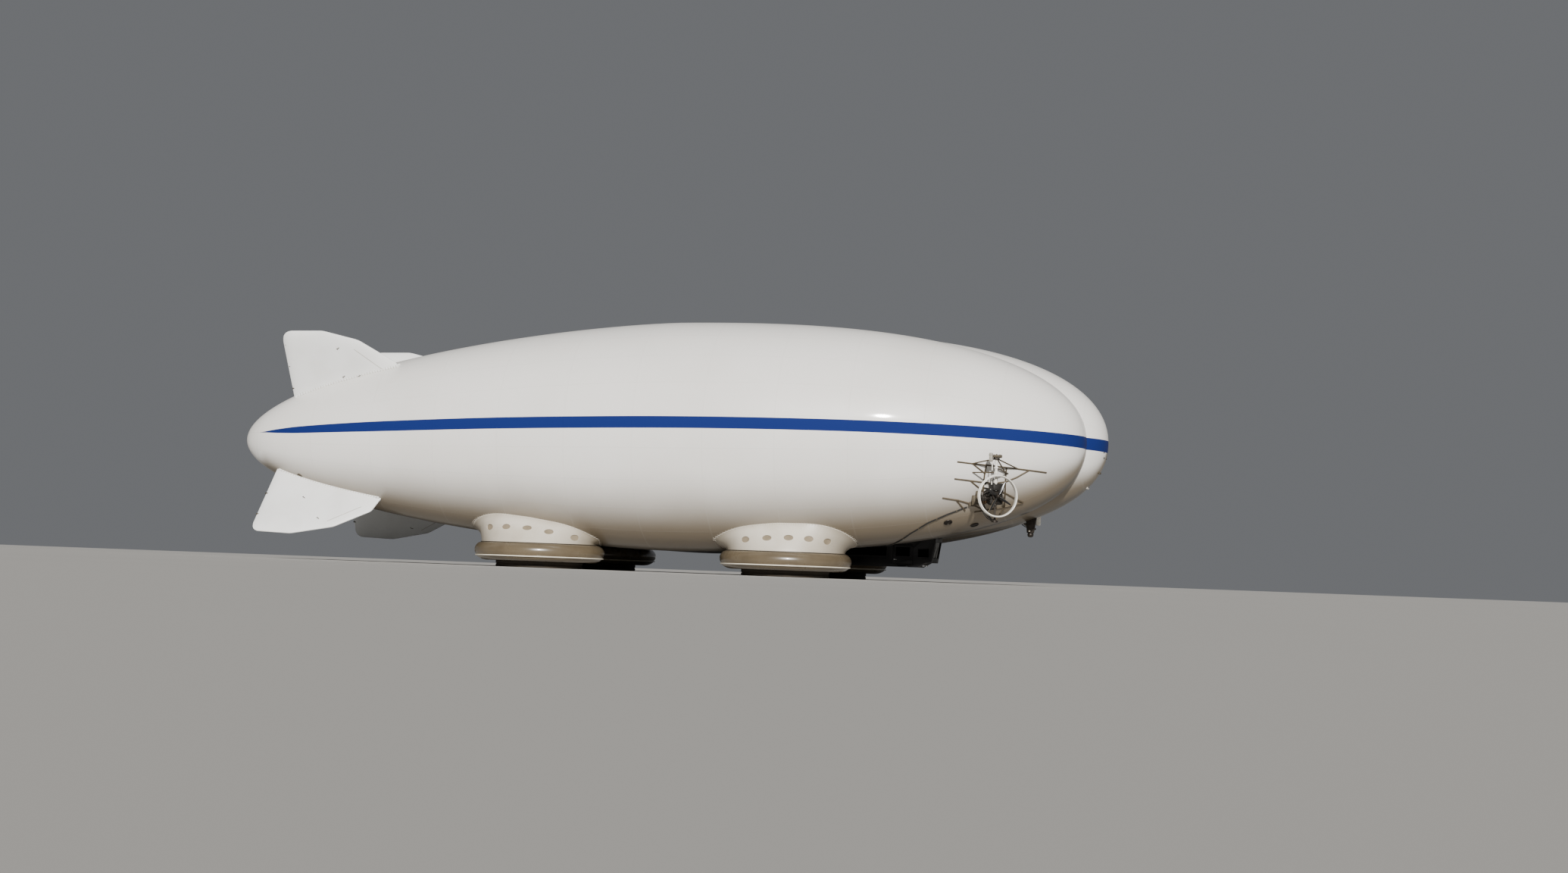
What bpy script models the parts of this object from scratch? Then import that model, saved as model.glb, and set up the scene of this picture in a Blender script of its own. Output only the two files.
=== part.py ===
"""Three-lobed hybrid airship, standing on its four air-cushion pads.

Metres, +Z up, nose to +X, port side to +Y. The origin is on the floor under the middle of the hull.
"""

import math

import bmesh
import bpy
from mathutils import Matrix, Vector

# Hull: three lobes side by side, each round in section
LENGTH = 36.6
WIDTH = 16.15
OUTER_RADIUS = 4.75
CENTRE_RADIUS = 4.55
OUTER_NOSE_X = 17.6
CENTRE_TAIL_X = -15.9
WIDEST_X = 0.95
OUTER_NOSE_POWERS = (2.62, 2.26)
CENTRE_NOSE_POWERS = (3.27, 2.15)
TAIL_POWERS = (1.5, 1.92)
SPREAD_MIDDLE = WIDTH / 2 - OUTER_RADIUS
SPREAD_NOSE = 1.95
SPREAD_TAIL = 3.3
AXIS_HEIGHT = 5.44
AXIS_SLOPE = 0.024
AXIS_ARCH = 0.19
AXIS_DROOP = 0.033
CENTRE_LIFT = 0.12
FABRIC = 0.01
LOBE_SIDES = 24
LOBE_RINGS = 17
SEAT_GAP = 0.0003

# Air-cushion pads: their centres along the hull, one pair at each
PAD_X = {"front": 5.7, "rear": -4.76}
PAD_Y = 4.3
PAD_BASE_RADIUS = 1.8
PAD_BASE_HEIGHT = 0.26
PAD_RING_RADIUS = 2.7
PAD_RING_HOLE = 1.2
PAD_RING_TOP = 1.0
PAD_RING_TOP_RADIUS = 2.46
PAD_RING_BOTTOM_RADIUS = 2.2
PAD_BASE_ROUNDING = 0.04
PAD_SIDES = 24
FAIRING_FOOT_RADIUS = 2.42
FAIRING_TOP_HALF_LENGTH = 2.95
FAIRING_TOP_HALF_WIDTH = 1.5
FAIRING_TOP_Z = 2.35
FAIRING_LEVELS = (0.0, 0.2, 0.4, 0.6, 1.0)
FAIRING_FLARE = 0.75
FAIRING_WALL = 0.06
FAIRING_SIDES = 28
HOLE_WIDTH = 0.37
HOLE_HEIGHT = 0.23
HOLE_SIDES = 8
HOLES = {
    "front": ((-29, 1.46), (-8, 1.55), (10, 1.61), (29, 1.59), (48, 1.49)),
    "rear": ((-38, 1.59), (-19, 1.66), (1, 1.62), (21, 1.49), (49, 1.27)),
}

# Gondola: its side outline as (x, z), and what is cut from it
GONDOLA_OUTLINE = (
    (7.0, 0.72), (7.12, 0.6), (10.6, 0.6), (10.95, 0.8),
    (11.2, 0.8), (11.37, 1.9), (11.3, 2.2), (7.0, 2.2),
)
GONDOLA_HALF_WIDTH = 0.9
GONDOLA_WALL = 0.045
FLOOR_THICKNESS = 0.05
FLOOR_X = (7.17, 10.52)
DOOR_X = (9.55, 10.4)
DOOR_Z = (0.72, 1.55)
DOOR_GAP = 0.006
WINDOW_Z = (1.02, 1.45)
REAR_WINDOW_X = (7.5, 9.3)
FRONT_WINDOW_X = (10.62, 11.08)
DOOR_WINDOW_INSET = 0.11
HINGE_Z = (0.86, 1.4)
HINGE_RADIUS = 0.0055
HINGE_BARREL = 0.06
HINGE_LUG = 0.03
HINGE_STRAP = 0.01
HINGE_AXIS = (DOOR_X[1] - 0.003, GONDOLA_HALF_WIDTH + 0.006)
SCREEN_Z = (1.0, 1.68)
SCREEN_HALF_WIDTH = 0.76
SCREEN_CUT_X = (11.1, 11.6)
GLASS = 0.012
SEAT_X = 9.98
SEAT_Y = 0.43
SEAT_HALF_WIDTH = 0.24
SEAT_OUTLINE = ((0, 0), (0.42, 0), (0.5, 0.26), (0.1, 0.2), (-0.08, 0.92), (-0.18, 0.9))
PANEL_OUTLINE = ((10.97, 0), (11.14, 0), (11.14, 0.12), (10.9, 0.14), (10.9, 0.05))
PANEL_HALF_WIDTH = 0.7

# Thrusters: the hub is where the vertical swivel post crosses the propeller's axis
SIDE_HUB = (14.52, 6.5, 3.49)
SIDE_AIMS = {-1: -58.0, 1: 7.0}
STERN_HUB = (-17.25, 0.99, 5.1)
STERN_SCALE = 0.86
POST_RADIUS = 0.05
SIDE_POST_TOP = 1.44
STERN_POST_TOP = 1.16
POST_BOTTOM = -0.96
ENGINE_SIZE = (0.62, 0.46, 0.58)
ENGINE_FRONT = 0.06
ENGINE_ROUNDING = 0.05
ENGINE_MASSES = (((-0.46, -0.42, -0.32), (-0.06, 0.42, 0.1)), ((-0.42, -0.27, 0.2), (0.0, 0.27, 0.53)))
EXHAUST_SIZE = (0.22, 0.36, 0.4)
EXHAUST_DROP = 0.06
EXHAUST_SINK = 0.03
GUARD_PLANE = 0.22
PROPELLER_PLANE = 0.235
GUARD_PROFILE = (
    (0.77, -0.08), (0.785, -0.11), (0.825, -0.11), (0.845, -0.085),
    (0.845, 0.085), (0.825, 0.11), (0.785, 0.11), (0.77, 0.08),
)
SPOKE_REACH = 0.79
SPOKE_END = -0.07
COLLAR = ((0.1, 0.0), (0.17, 0.0), (0.17, 0.06), (0.1, 0.06))
SPOKE = 0.02
SPOKE_ANGLES = (61, 151, 241, 331)
SPINNER = ((0.035, 0.06), (0.035, 0.16), (0.09, 0.175), (0.09, 0.28), (0.06, 0.34), (0.01, 0.36))
BLADE_COUNT = 4
BLADE_REST = 29.0
BLADE_STATIONS = ((0.05, 0.07, 50), (0.2, 0.11, 38), (0.45, 0.12, 24), (0.66, 0.06, 16))
BLADE_HALF_THICKNESS = 0.008

# The frames that carry them: tubes as (x, height on the hull), struts as (bearing, x, height on the hull)
STRUT = 0.028
STRUT_OUT = 0.012
PLATE = 0.07
PLATE_RADIUS = 0.13
RAILS = (
    ((12.92, 4.82), (13.5, 4.775), (14.02, 4.738), (14.78, 4.684), (15.62, 4.62), (16.25, 4.57)),
    ((12.8, 4.15), (13.4, 4.1), (13.9, 4.06), (14.3, 4.04), (14.72, 4.12), (15.15, 4.32), (15.62, 4.62)),
    ((12.3, 3.38), (12.9, 3.31), (13.4, 3.18), (13.83, 2.96)),
    ((13.45, 2.885), (13.83, 2.96), (14.6, 3.14), (15.3, 3.34)),
    ((13.87, 3.85), (14.25, 3.8), (14.68, 3.68), (15.3, 3.34)),
)
UPRIGHTS = (
    ((14.02, 4.738), (13.95, 4.4), (13.9, 4.06), (13.87, 3.85), (13.83, 2.96)),
    ((14.78, 4.684), (14.75, 4.44), (14.72, 4.12), (14.68, 3.68), (14.6, 3.14)),
)
STRUTS = (
    ("top", 13.5, 4.775), ("top", 14.75, 4.44), ("top", 15.2, 4.653),
    ("foot", 13.83, 2.96), ("foot", 14.6, 3.14),
)
STERN_MAST_X = -16.15
STERN_STAY_X = -14.3
STERN_STAY_SLOPE = 0.1
STERN_TUBE = 0.034
STERN_MAST_ENDS = (-0.03, 0.08)

# Fins: corners as (x, distance from the lobe's axis), from the trailing root round to the leading root
FIN_OUTLINES = {
    "upper": (
        27.0,
        ((-15.9, 1.4), (-16.08, 4.5), (-16.0, 4.78), (-15.76, 4.91), (-14.28, 4.94),
         (-12.74, 4.55), (-11.14, 3.54), (-10.85, 2.4)),
    ),
    "lower": (
        144.0,
        ((-16.4, 0.9), (-16.76, 4.7), (-16.7, 4.93), (-16.54, 5.05), (-15.01, 5.12),
         (-13.22, 4.71), (-11.76, 3.84), (-11.2, 2.4)),
    ),
}
FIN_STATION = -14.0
FIN_THICKNESS = 0.26
FIN_EDGE = 0.05
FIN_BEVEL = 0.2

# Small pieces under the hull
NOSE_MAST_ENDS = ((14.97, 15.44, 0.1, 2.95), (15.04, 15.33, 0.07, 2.2))
NOSE_LAMP_X = 15.19
NOSE_LAMP_PROFILE = ((0.04, 2.02), (0.11, 2.05), (0.13, 2.12), (0.11, 2.2 - SEAT_GAP))
CONDUIT_RADIUS = 0.03
CONDUIT_START_X = 9.2
CONDUIT_ROUTE = (
    (9.25, 199), (9.45, 190), (9.8, 179), (10.15, 171),
    (10.85, 158), (11.6, 148.5), (12.4, 143), (13.2, 139),
)

SIDES = {"right": -1, "left": 1}

WHITE = (0.68, 0.67, 0.65)
FABRIC_WHITE = (0.72, 0.71, 0.69)
DARK = (0.03, 0.03, 0.035)
GREY = (0.35, 0.36, 0.37)
BROWN = (0.16, 0.12, 0.09)
GLASS_TINT = (0.06, 0.08, 0.09)


def clear_scene():
    for thing in list(bpy.data.objects):
        bpy.data.objects.remove(thing)


def material(name, colour, roughness, metallic=0.0):
    made = bpy.data.materials.new(name)
    made.use_nodes = True
    shader = made.node_tree.nodes["Principled BSDF"]
    shader.inputs["Base Color"].default_value = (*colour, 1.0)
    shader.inputs["Roughness"].default_value = roughness
    shader.inputs["Metallic"].default_value = metallic
    return made


def add(name, shape, colour, roughness=0.5, metallic=0.0, smooth_angle=30):
    """Makes the bmesh an object with a material of its own."""
    bmesh.ops.recalc_face_normals(shape, faces=shape.faces)
    bmesh.ops.triangulate(shape, faces=shape.faces)
    mesh = bpy.data.meshes.new(name)
    shape.to_mesh(mesh)
    shape.free()
    mesh.shade_smooth()
    mesh.set_sharp_from_angle(angle=math.radians(smooth_angle))
    mesh.materials.append(material(name, colour, roughness, metallic))
    made = bpy.data.objects.new(name, mesh)
    bpy.context.scene.collection.objects.link(made)
    return made


def helper(name, shape):
    """Makes the bmesh a cutter, which is no part of the airship."""
    made = add(name, shape, GREY)
    made.hide_render = True
    made.display_type = "WIRE"
    return made


def boolean(target, other, operation, own_overlaps=False):
    modifier = target.modifiers.new(operation.title() + " " + other.name, "BOOLEAN")
    modifier.operation = operation
    modifier.object = other
    modifier.use_self = own_overlaps


def cut(target, *cutters):
    for cutter in cutters:
        boolean(target, cutter, "DIFFERENCE")


# Plain shapes


def ring_of(shape, points):
    return [shape.verts.new(point) for point in points]


def skin(shape, rings, closed=False):
    """Joins rings of equal length; closed also joins the last to the first, or else both ends are capped."""
    pairs = list(zip(rings, rings[1:]))
    if closed:
        pairs.append((rings[-1], rings[0]))
    else:
        shape.faces.new(rings[0])
        shape.faces.new(list(reversed(rings[-1])))
    for first, second in pairs:
        for i in range(len(first)):
            j = (i + 1) % len(first)
            shape.faces.new((first[i], first[j], second[j], second[i]))


def box(shape, low, high):
    size = Vector(high) - Vector(low)
    place = Matrix.Translation((Vector(low) + Vector(high)) / 2) @ Matrix.Diagonal((*size, 1.0))
    bmesh.ops.create_cube(shape, size=1.0, matrix=place)


def bar(shape, points, radius, sides=6):
    """A round bar along the points, with mitred bends and flat ends."""
    points = [Vector(point) for point in points]
    runs = [(b - a).normalized() for a, b in zip(points, points[1:])]
    across = runs[0].orthogonal().normalized()
    rings = []
    for i, point in enumerate(points):
        before, after = runs[max(i - 1, 0)], runs[min(i, len(runs) - 1)]
        along = (before + after).normalized()
        stretch = 1.0 / max(along.dot(after), 0.5)
        across = (across - along * across.dot(along)).normalized()
        other = along.cross(across)
        bend = (after - before).normalized() if (after - before).length > 1e-6 else across
        ring = []
        for k in range(sides):
            angle = 2 * math.pi * k / sides
            out = radius * (across * math.cos(angle) + other * math.sin(angle))
            ring.append(point + out + bend * out.dot(bend) * (stretch - 1.0))
        rings.append(ring_of(shape, ring))
    skin(shape, rings)


def turned(shape, profile, sides, centre=(0, 0, 0), axis="Z", closed=False):
    """Turns (radius, height) points about an axis; closed joins the last to the first, as in a ring."""
    turn = {"Z": Matrix.Identity(3), "X": Matrix.Rotation(math.pi / 2, 3, "Y")}[axis]
    rings = []
    for radius, height in profile:
        ring = []
        for k in range(sides):
            angle = 2 * math.pi * k / sides
            point = Vector((radius * math.cos(angle), radius * math.sin(angle), height))
            ring.append(turn @ point + Vector(centre))
        rings.append(ring_of(shape, ring))
    skin(shape, rings, closed)


def prism(shape, outline, y_low, y_high):
    """An (x, z) outline drawn out along Y."""
    skin(shape, [ring_of(shape, [(x, y, z) for x, z in outline]) for y in (y_low, y_high)])


# Hull lines


def lobe_ends(side):
    """The x of the nose and the tail of the centre lobe (side 0) or of an outer one."""
    return (OUTER_NOSE_X, -LENGTH / 2) if side else (LENGTH / 2, CENTRE_TAIL_X)


def lobe_radius(x, side):
    nose, tail = lobe_ends(side)
    widest = OUTER_RADIUS if side else CENTRE_RADIUS
    if x > WIDEST_X:
        part = (x - WIDEST_X) / (nose - WIDEST_X)
        powers = OUTER_NOSE_POWERS if side else CENTRE_NOSE_POWERS
    else:
        part = (WIDEST_X - x) / (WIDEST_X - tail)
        powers = TAIL_POWERS
    return widest * max(1.0 - min(part, 1.0) ** powers[0], 0.0) ** (1.0 / powers[1])


def lobe_axis(x, side):
    """The point of the lobe's axis at x."""
    part = x / (LENGTH / 2)
    end = SPREAD_NOSE if x > 0 else SPREAD_TAIL
    y = side * (SPREAD_MIDDLE + (end - SPREAD_MIDDLE) * part**2)
    z = AXIS_HEIGHT + AXIS_SLOPE * x + AXIS_ARCH * (1.0 - part**2) - AXIS_DROOP * part**3
    return Vector((x, y, z + (0.0 if side else CENTRE_LIFT)))


def hull_point(x, side, angle, out=0.0):
    """A point on a lobe, angle degrees from its top towards its own side, moved out by out."""
    turn = math.radians(angle)
    towards = side or 1
    reach = lobe_radius(x, side) + out
    return lobe_axis(x, side) + Vector((0.0, towards * math.sin(turn), math.cos(turn))) * reach


def hull_point_at_height(x, side, z, out=0.0):
    """The outboard point of an outer lobe at x and height z."""
    axis = lobe_axis(x, side)
    angle = math.degrees(math.acos((z - axis.z) / (lobe_radius(x, side) + out)))
    return hull_point(x, side, angle, out)


def belly_height(x, y, side):
    """The height of the underside of a lobe above a point of the floor."""
    axis = lobe_axis(x, side)
    return axis.z - math.sqrt(lobe_radius(x, side) ** 2 - (y - axis.y) ** 2)


def lobe_shape(side, grow=0.0):
    """The closed outer surface of a lobe, its rings closer together towards both ends."""
    nose, tail = lobe_ends(side)
    shape = bmesh.new()
    rings = []
    for i in range(1, LOBE_RINGS):
        x = tail + (nose - tail) * (1.0 - math.cos(math.pi * i / LOBE_RINGS)) / 2
        rings.append(ring_of(shape, [
            hull_point(x, side, 360.0 * (k + 0.5) / LOBE_SIDES, grow) for k in range(LOBE_SIDES)
        ]))
    for end, ring, sign in ((tail, rings[0], -1), (nose, rings[-1], 1)):
        tip = shape.verts.new(lobe_axis(end, side) + Vector((sign * grow, 0, 0)))
        for k in range(LOBE_SIDES):
            shape.faces.new((tip, ring[k], ring[(k + 1) % LOBE_SIDES]))
    for first, second in zip(rings, rings[1:]):
        for k in range(LOBE_SIDES):
            j = (k + 1) % LOBE_SIDES
            shape.faces.new((first[k], first[j], second[j], second[k]))
    return shape


def lobe(name, side):
    made = add(name, lobe_shape(side), FABRIC_WHITE, 0.28, smooth_angle=60)
    wall = made.modifiers.new("Fabric", "SOLIDIFY")
    wall.thickness = FABRIC
    wall.offset = -1.0
    return made


# Fins


def fin(name, side, angle, corners):
    """A flat fin in a plane through the lobe's axis, thin at its edge and full inside it."""
    turn = math.radians(angle)
    out = Vector((0.0, side * math.sin(turn), math.cos(turn)))
    across = out.cross(Vector((1, 0, 0))).normalized()
    axis = lobe_axis(FIN_STATION, side)
    rim = [Vector((x, axis.y, axis.z)) + out * reach for x, reach in corners]
    middle = sum(rim, Vector()) / len(rim)
    full = [point.lerp(middle, FIN_BEVEL) for point in rim]
    shape = bmesh.new()
    layers = ((full, -FIN_THICKNESS), (rim, -FIN_EDGE), (rim, FIN_EDGE), (full, FIN_THICKNESS))
    skin(shape, [
        ring_of(shape, [point + across * offset / 2 for point in points]) for points, offset in layers
    ])
    return add(name, shape, WHITE, 0.4)


# Air-cushion pads


def pad_base(name, centre):
    shape = bmesh.new()
    turned(shape, (
        (PAD_BASE_RADIUS - PAD_BASE_ROUNDING, 0.0), (PAD_BASE_RADIUS, PAD_BASE_ROUNDING),
        (PAD_BASE_RADIUS, PAD_BASE_HEIGHT),
    ), PAD_SIDES, centre)
    return add(name, shape, DARK, 0.7)


def pad_ring(name, centre):
    """The fat inflated ring, flat where it meets its base and the fairing."""
    low, high = PAD_BASE_HEIGHT + SEAT_GAP, PAD_RING_TOP
    middle, half = (low + high) / 2, (high - low) / 2
    shape = bmesh.new()
    profile = [(PAD_RING_HOLE, high), (PAD_RING_HOLE, low)]
    for step in range(6):
        angle = math.radians(-90 + 36 * step)
        edge = PAD_RING_BOTTOM_RADIUS if step < 3 else PAD_RING_TOP_RADIUS
        profile.append((
            edge + (PAD_RING_RADIUS - edge) * math.cos(angle),
            middle + half * math.sin(angle),
        ))
    turned(shape, profile, PAD_SIDES, centre, closed=True)
    return add(name, shape, WHITE, 0.35, smooth_angle=50)


def fairing_halves(level):
    """Half the fairing's length and width at a level from 0 at its round foot to 1 at its flared top."""
    share = min(level / FAIRING_FLARE, 1.0)
    flare = share * share * (3.0 - 2.0 * share)
    foot = FAIRING_FOOT_RADIUS
    half_length = foot + (FAIRING_TOP_HALF_LENGTH - foot) * flare
    return half_length, foot + (FAIRING_TOP_HALF_WIDTH - foot) * level


def fairing_plan(level, inset):
    half_x, half_y = fairing_halves(level)
    turns = [2 * math.pi * k / FAIRING_SIDES for k in range(FAIRING_SIDES)]
    return [((half_x - inset) * math.cos(turn), (half_y - inset) * math.sin(turn)) for turn in turns]


def fairing_holes(side, centre, holes):
    """Cutters for the oval holes on the outboard side, given as angles from outboard and heights."""
    shape = bmesh.new()
    for angle, height in holes:
        turn = math.radians(angle)
        half_x, half_y = fairing_halves((height - PAD_RING_TOP) / (FAIRING_TOP_Z - PAD_RING_TOP))
        wall = Vector((centre[0] + half_x * math.sin(turn), centre[1] + side * half_y * math.cos(turn), height))
        way = Vector((half_y * math.sin(turn), side * half_x * math.cos(turn), 0.0)).normalized()
        along = Vector((way.y, -way.x, 0.0)) * HOLE_WIDTH / 2
        rings = []
        for reach in (-0.3, 0.4):
            ring = []
            for k in range(HOLE_SIDES):
                turn = math.tau * k / HOLE_SIDES
                up = Vector((0, 0, HOLE_HEIGHT / 2 * math.sin(turn)))
                ring.append(wall + way * reach + along * math.cos(turn) + up)
            rings.append(ring_of(shape, ring))
        skin(shape, rings)
    return shape


def pad_fairing(name, side, centre, holes):
    """The flared skirt between the hull and the ring, with a row of oval holes on its outboard side."""
    foot = PAD_RING_TOP + SEAT_GAP
    rise = FAIRING_TOP_Z - foot
    layers = [(level, 0.0) for level in FAIRING_LEVELS] + [(level, FAIRING_WALL) for level in FAIRING_LEVELS[::-1]]
    shape = bmesh.new()
    skin(shape, [
        ring_of(shape, [(centre[0] + x, centre[1] + y, foot + level * rise) for x, y in fairing_plan(level, inset)])
        for level, inset in layers
    ], closed=True)
    made = add(name, shape, WHITE, 0.35)
    cut(made, helper(name + "_holes", fairing_holes(side, centre, holes)))
    return made


# Gondola


def inset_outline(outline, amount):
    """The outline moved inwards by the wall, each side kept parallel."""
    moved = []
    count = len(outline)
    for i in range(count):
        before, here, after = (Vector(outline[(i + k) % count]) for k in (-1, 0, 1))
        first, second = (here - before).normalized(), (after - here).normalized()
        inward = Vector((-first.y, first.x)) + Vector((-second.y, second.x))
        moved.append(tuple(here + inward * amount / (1.0 + first.dot(second))))
    return moved


def outline_x(z):
    """Where the front of the gondola is at height z, on its windscreen."""
    (x0, z0), (x1, z1) = GONDOLA_OUTLINE[4], GONDOLA_OUTLINE[5]
    return x0 + (x1 - x0) * (z - z0) / (z1 - z0)


def side_range(side, low, high):
    """The y range between two distances from the middle, on one side."""
    return sorted((side * low, side * high))


def window_outline(x_range):
    """A side window as (x, z): its top follows the hull above it."""
    low, high = x_range
    beside = GONDOLA_HALF_WIDTH
    rise = (belly_height(high, beside, 0) - belly_height(low, beside, 0)) * 0.6
    top = WINDOW_Z[1] - 0.1
    return ((low, WINDOW_Z[0]), (high, WINDOW_Z[0]), (high, top + rise), (low, top))


def door_outline():
    (x0, x1), (z0, z1) = DOOR_X, DOOR_Z
    return ((x0, z0), (x1, z0), (x1, z1), (x0, z1))


def door_window_outline():
    low, right, upper_right, upper_left = inset_outline(door_outline(), DOOR_GAP + DOOR_WINDOW_INSET)
    sill = WINDOW_Z[0] + 0.02
    return ((low[0], sill), (right[0], sill), upper_right, upper_left)


def hinge_pieces(side, top_offset, length, reach):
    """Barrels on a door's hinge axis, each with a strap to the wall that is reach away along X."""
    x, y = HINGE_AXIS
    wall = GONDOLA_HALF_WIDTH
    strap_x = sorted((x, x + reach))
    foot_x = sorted((x + reach * 0.25, x + reach))
    strap_y = side_range(side, wall + 0.0008, wall + HINGE_STRAP + 0.001)
    foot_y = side_range(side, wall - HINGE_STRAP, wall + HINGE_STRAP)
    shape = bmesh.new()
    for z in HINGE_Z:
        low, high = z + top_offset - length, z + top_offset
        turned(shape, ((HINGE_RADIUS, low), (HINGE_RADIUS, high)), 8, (x, side * y, 0))
        box(shape, (strap_x[0], strap_y[0], low + 0.002), (strap_x[1], strap_y[1], high - 0.002))
        box(shape, (foot_x[0], foot_y[0], low + 0.004), (foot_x[1], foot_y[1], high - 0.004))
    return shape


def gondola_shell():
    """The hollow body, open at its doors, side windows and windscreen."""
    wide, wall = GONDOLA_HALF_WIDTH, GONDOLA_WALL
    shape = bmesh.new()
    prism(shape, GONDOLA_OUTLINE, -wide, wide)
    shell = add("gondola_shell", shape, DARK, 0.35)
    room = bmesh.new()
    prism(room, inset_outline(GONDOLA_OUTLINE, wall), -wide + wall, wide - wall)
    openings = bmesh.new()
    for side in SIDES.values():
        through = side_range(side, wide - 2 * wall, wide + wall)
        for outline in (door_outline(), window_outline(REAR_WINDOW_X), window_outline(FRONT_WINDOW_X)):
            prism(openings, outline, *through)
    box(openings, (SCREEN_CUT_X[0], -SCREEN_HALF_WIDTH, SCREEN_Z[0]),
        (SCREEN_CUT_X[1], SCREEN_HALF_WIDTH, SCREEN_Z[1]))
    cut(shell, helper("gondola_room", room), helper("gondola_openings", openings))
    for word, side in SIDES.items():
        lugs = helper(f"gondola_hinge_lugs_{word}", hinge_pieces(side, -SEAT_GAP, HINGE_LUG, 0.04))
        boolean(shell, lugs, "UNION", own_overlaps=True)


def pane(name, outline, side):
    """A sheet of glass in the middle of the side wall, just inside its opening."""
    middle = side * (GONDOLA_HALF_WIDTH - GONDOLA_WALL / 2)
    shape = bmesh.new()
    prism(shape, inset_outline(outline, SEAT_GAP), middle - GLASS / 2, middle + GLASS / 2)
    return add(name, shape, GLASS_TINT, 0.05)


def origin_to(made, point):
    """Moves the object's origin, and not its shape, to a point."""
    made.data.transform(Matrix.Translation(-Vector(point)))
    made.location = point


def gondola_door(word, side):
    wide, wall = GONDOLA_HALF_WIDTH, GONDOLA_WALL
    leaf = bmesh.new()
    prism(leaf, inset_outline(door_outline(), DOOR_GAP), *side_range(side, wide - wall, wide))
    door = add(f"gondola_door_{word}", leaf, DARK, 0.35)
    hole = bmesh.new()
    prism(hole, door_window_outline(), *side_range(side, wide - 2 * wall, wide + wall))
    cut(door, helper(f"gondola_door_hole_{word}", hole))
    barrels = hinge_pieces(side, HINGE_BARREL, HINGE_BARREL, -0.05)
    boolean(door, helper(f"gondola_door_hinges_{word}", barrels), "UNION", own_overlaps=True)
    glass = pane(f"gondola_glass_door_{word}", door_window_outline(), side)
    for made in (door, glass):
        origin_to(made, (HINGE_AXIS[0], side * HINGE_AXIS[1], DOOR_Z[0]))


def windscreen():
    depth = GONDOLA_WALL * 0.6
    low, high = SCREEN_Z[0] + SEAT_GAP, SCREEN_Z[1] - SEAT_GAP
    outline = [(outline_x(z) - depth - back, z)
               for z, back in ((low, 0), (high, 0), (high, GLASS), (low, GLASS))]
    shape = bmesh.new()
    prism(shape, outline, -SCREEN_HALF_WIDTH + SEAT_GAP, SCREEN_HALF_WIDTH - SEAT_GAP)
    add("gondola_windscreen", shape, GLASS_TINT, 0.05)


def moved(outline, x, z):
    return [(x + px, z + pz) for px, pz in outline]


def gondola():
    gondola_shell()
    windscreen()
    inside = GONDOLA_HALF_WIDTH - GONDOLA_WALL - SEAT_GAP
    low = GONDOLA_OUTLINE[1][1] + GONDOLA_WALL + SEAT_GAP
    floor = bmesh.new()
    box(floor, (FLOOR_X[0], -inside, low), (FLOOR_X[1], inside, low + FLOOR_THICKNESS))
    add("gondola_floor", floor, GREY, 0.7)
    for word, side in SIDES.items():
        gondola_door(word, side)
        pane(f"gondola_glass_rear_{word}", window_outline(REAR_WINDOW_X), side)
        pane(f"gondola_glass_front_{word}", window_outline(FRONT_WINDOW_X), side)
        seat = bmesh.new()
        y = side * SEAT_Y
        outline = moved(SEAT_OUTLINE, SEAT_X, low + FLOOR_THICKNESS + SEAT_GAP)
        prism(seat, outline, y - SEAT_HALF_WIDTH, y + SEAT_HALF_WIDTH)
        add(f"gondola_seat_{word}", seat, BROWN, 0.8)
    panel = bmesh.new()
    outline = moved(PANEL_OUTLINE, 0, GONDOLA_OUTLINE[3][1] + GONDOLA_WALL + SEAT_GAP)
    prism(panel, outline, -PANEL_HALF_WIDTH, PANEL_HALF_WIDTH)
    add("gondola_panel", panel, DARK, 0.6)


def gondola_pocket():
    """What the hull gives way to: the gondola's outer form, a little larger."""
    shape = bmesh.new()
    beside = GONDOLA_HALF_WIDTH + SEAT_GAP
    prism(shape, inset_outline(GONDOLA_OUTLINE, -SEAT_GAP), -beside, beside)
    return helper("gondola_pocket", shape)


# Thrusters, each made round its hub and facing +X


def engine(name, post_top):
    """The engine's block with its exhaust box, on the swivel post."""
    length, width, height = ENGINE_SIZE
    long, wide, tall = EXHAUST_SIZE
    back = ENGINE_FRONT - length + EXHAUST_SINK
    post = bmesh.new()
    bar(post, ((0, 0, POST_BOTTOM), (0, 0, post_top)), POST_RADIUS, 12)
    body = bmesh.new()
    box(body, (ENGINE_FRONT - length, -width / 2, -height / 2), (ENGINE_FRONT, width / 2, height / 2))
    for low, high in ENGINE_MASSES:
        box(body, low, high)
    bmesh.ops.bevel(body, geom=body.edges[:], offset=ENGINE_ROUNDING, segments=2, affect="EDGES")
    box(body, (back - long, -wide / 2, -tall / 2 - EXHAUST_DROP), (back, wide / 2, tall / 2 - EXHAUST_DROP))
    made, block = add(name, post, DARK, 0.5, 0.3), helper(name + "_block", body)
    boolean(made, block, "UNION", own_overlaps=True)
    return made, block


def guard(name, gap, side):
    """The short duct round the propeller, on four spokes from a collar on the engine's face."""
    collar_x = ENGINE_FRONT + gap
    rim = bmesh.new()
    turned(rim, [(radius, GUARD_PLANE + x) for radius, x in GUARD_PROFILE], 24, axis="X", closed=True)
    spider = bmesh.new()
    turned(spider, [(radius, collar_x + x) for radius, x in COLLAR], 12, axis="X", closed=True)
    for angle in SPOKE_ANGLES:
        turn = math.radians(angle)
        way = Vector((0.0, -side * math.cos(turn), math.sin(turn)))
        start = way * COLLAR[0][0] * 1.4 + Vector((collar_x + COLLAR[2][1] / 2, 0, 0))
        bar(spider, (start, way * SPOKE_REACH + Vector((GUARD_PLANE + SPOKE_END, 0, 0))), SPOKE)
    made, spokes = add(name, rim, WHITE, 0.4), helper(name + "_spokes", spider)
    boolean(made, spokes, "UNION", own_overlaps=True)
    return made, spokes


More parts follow.
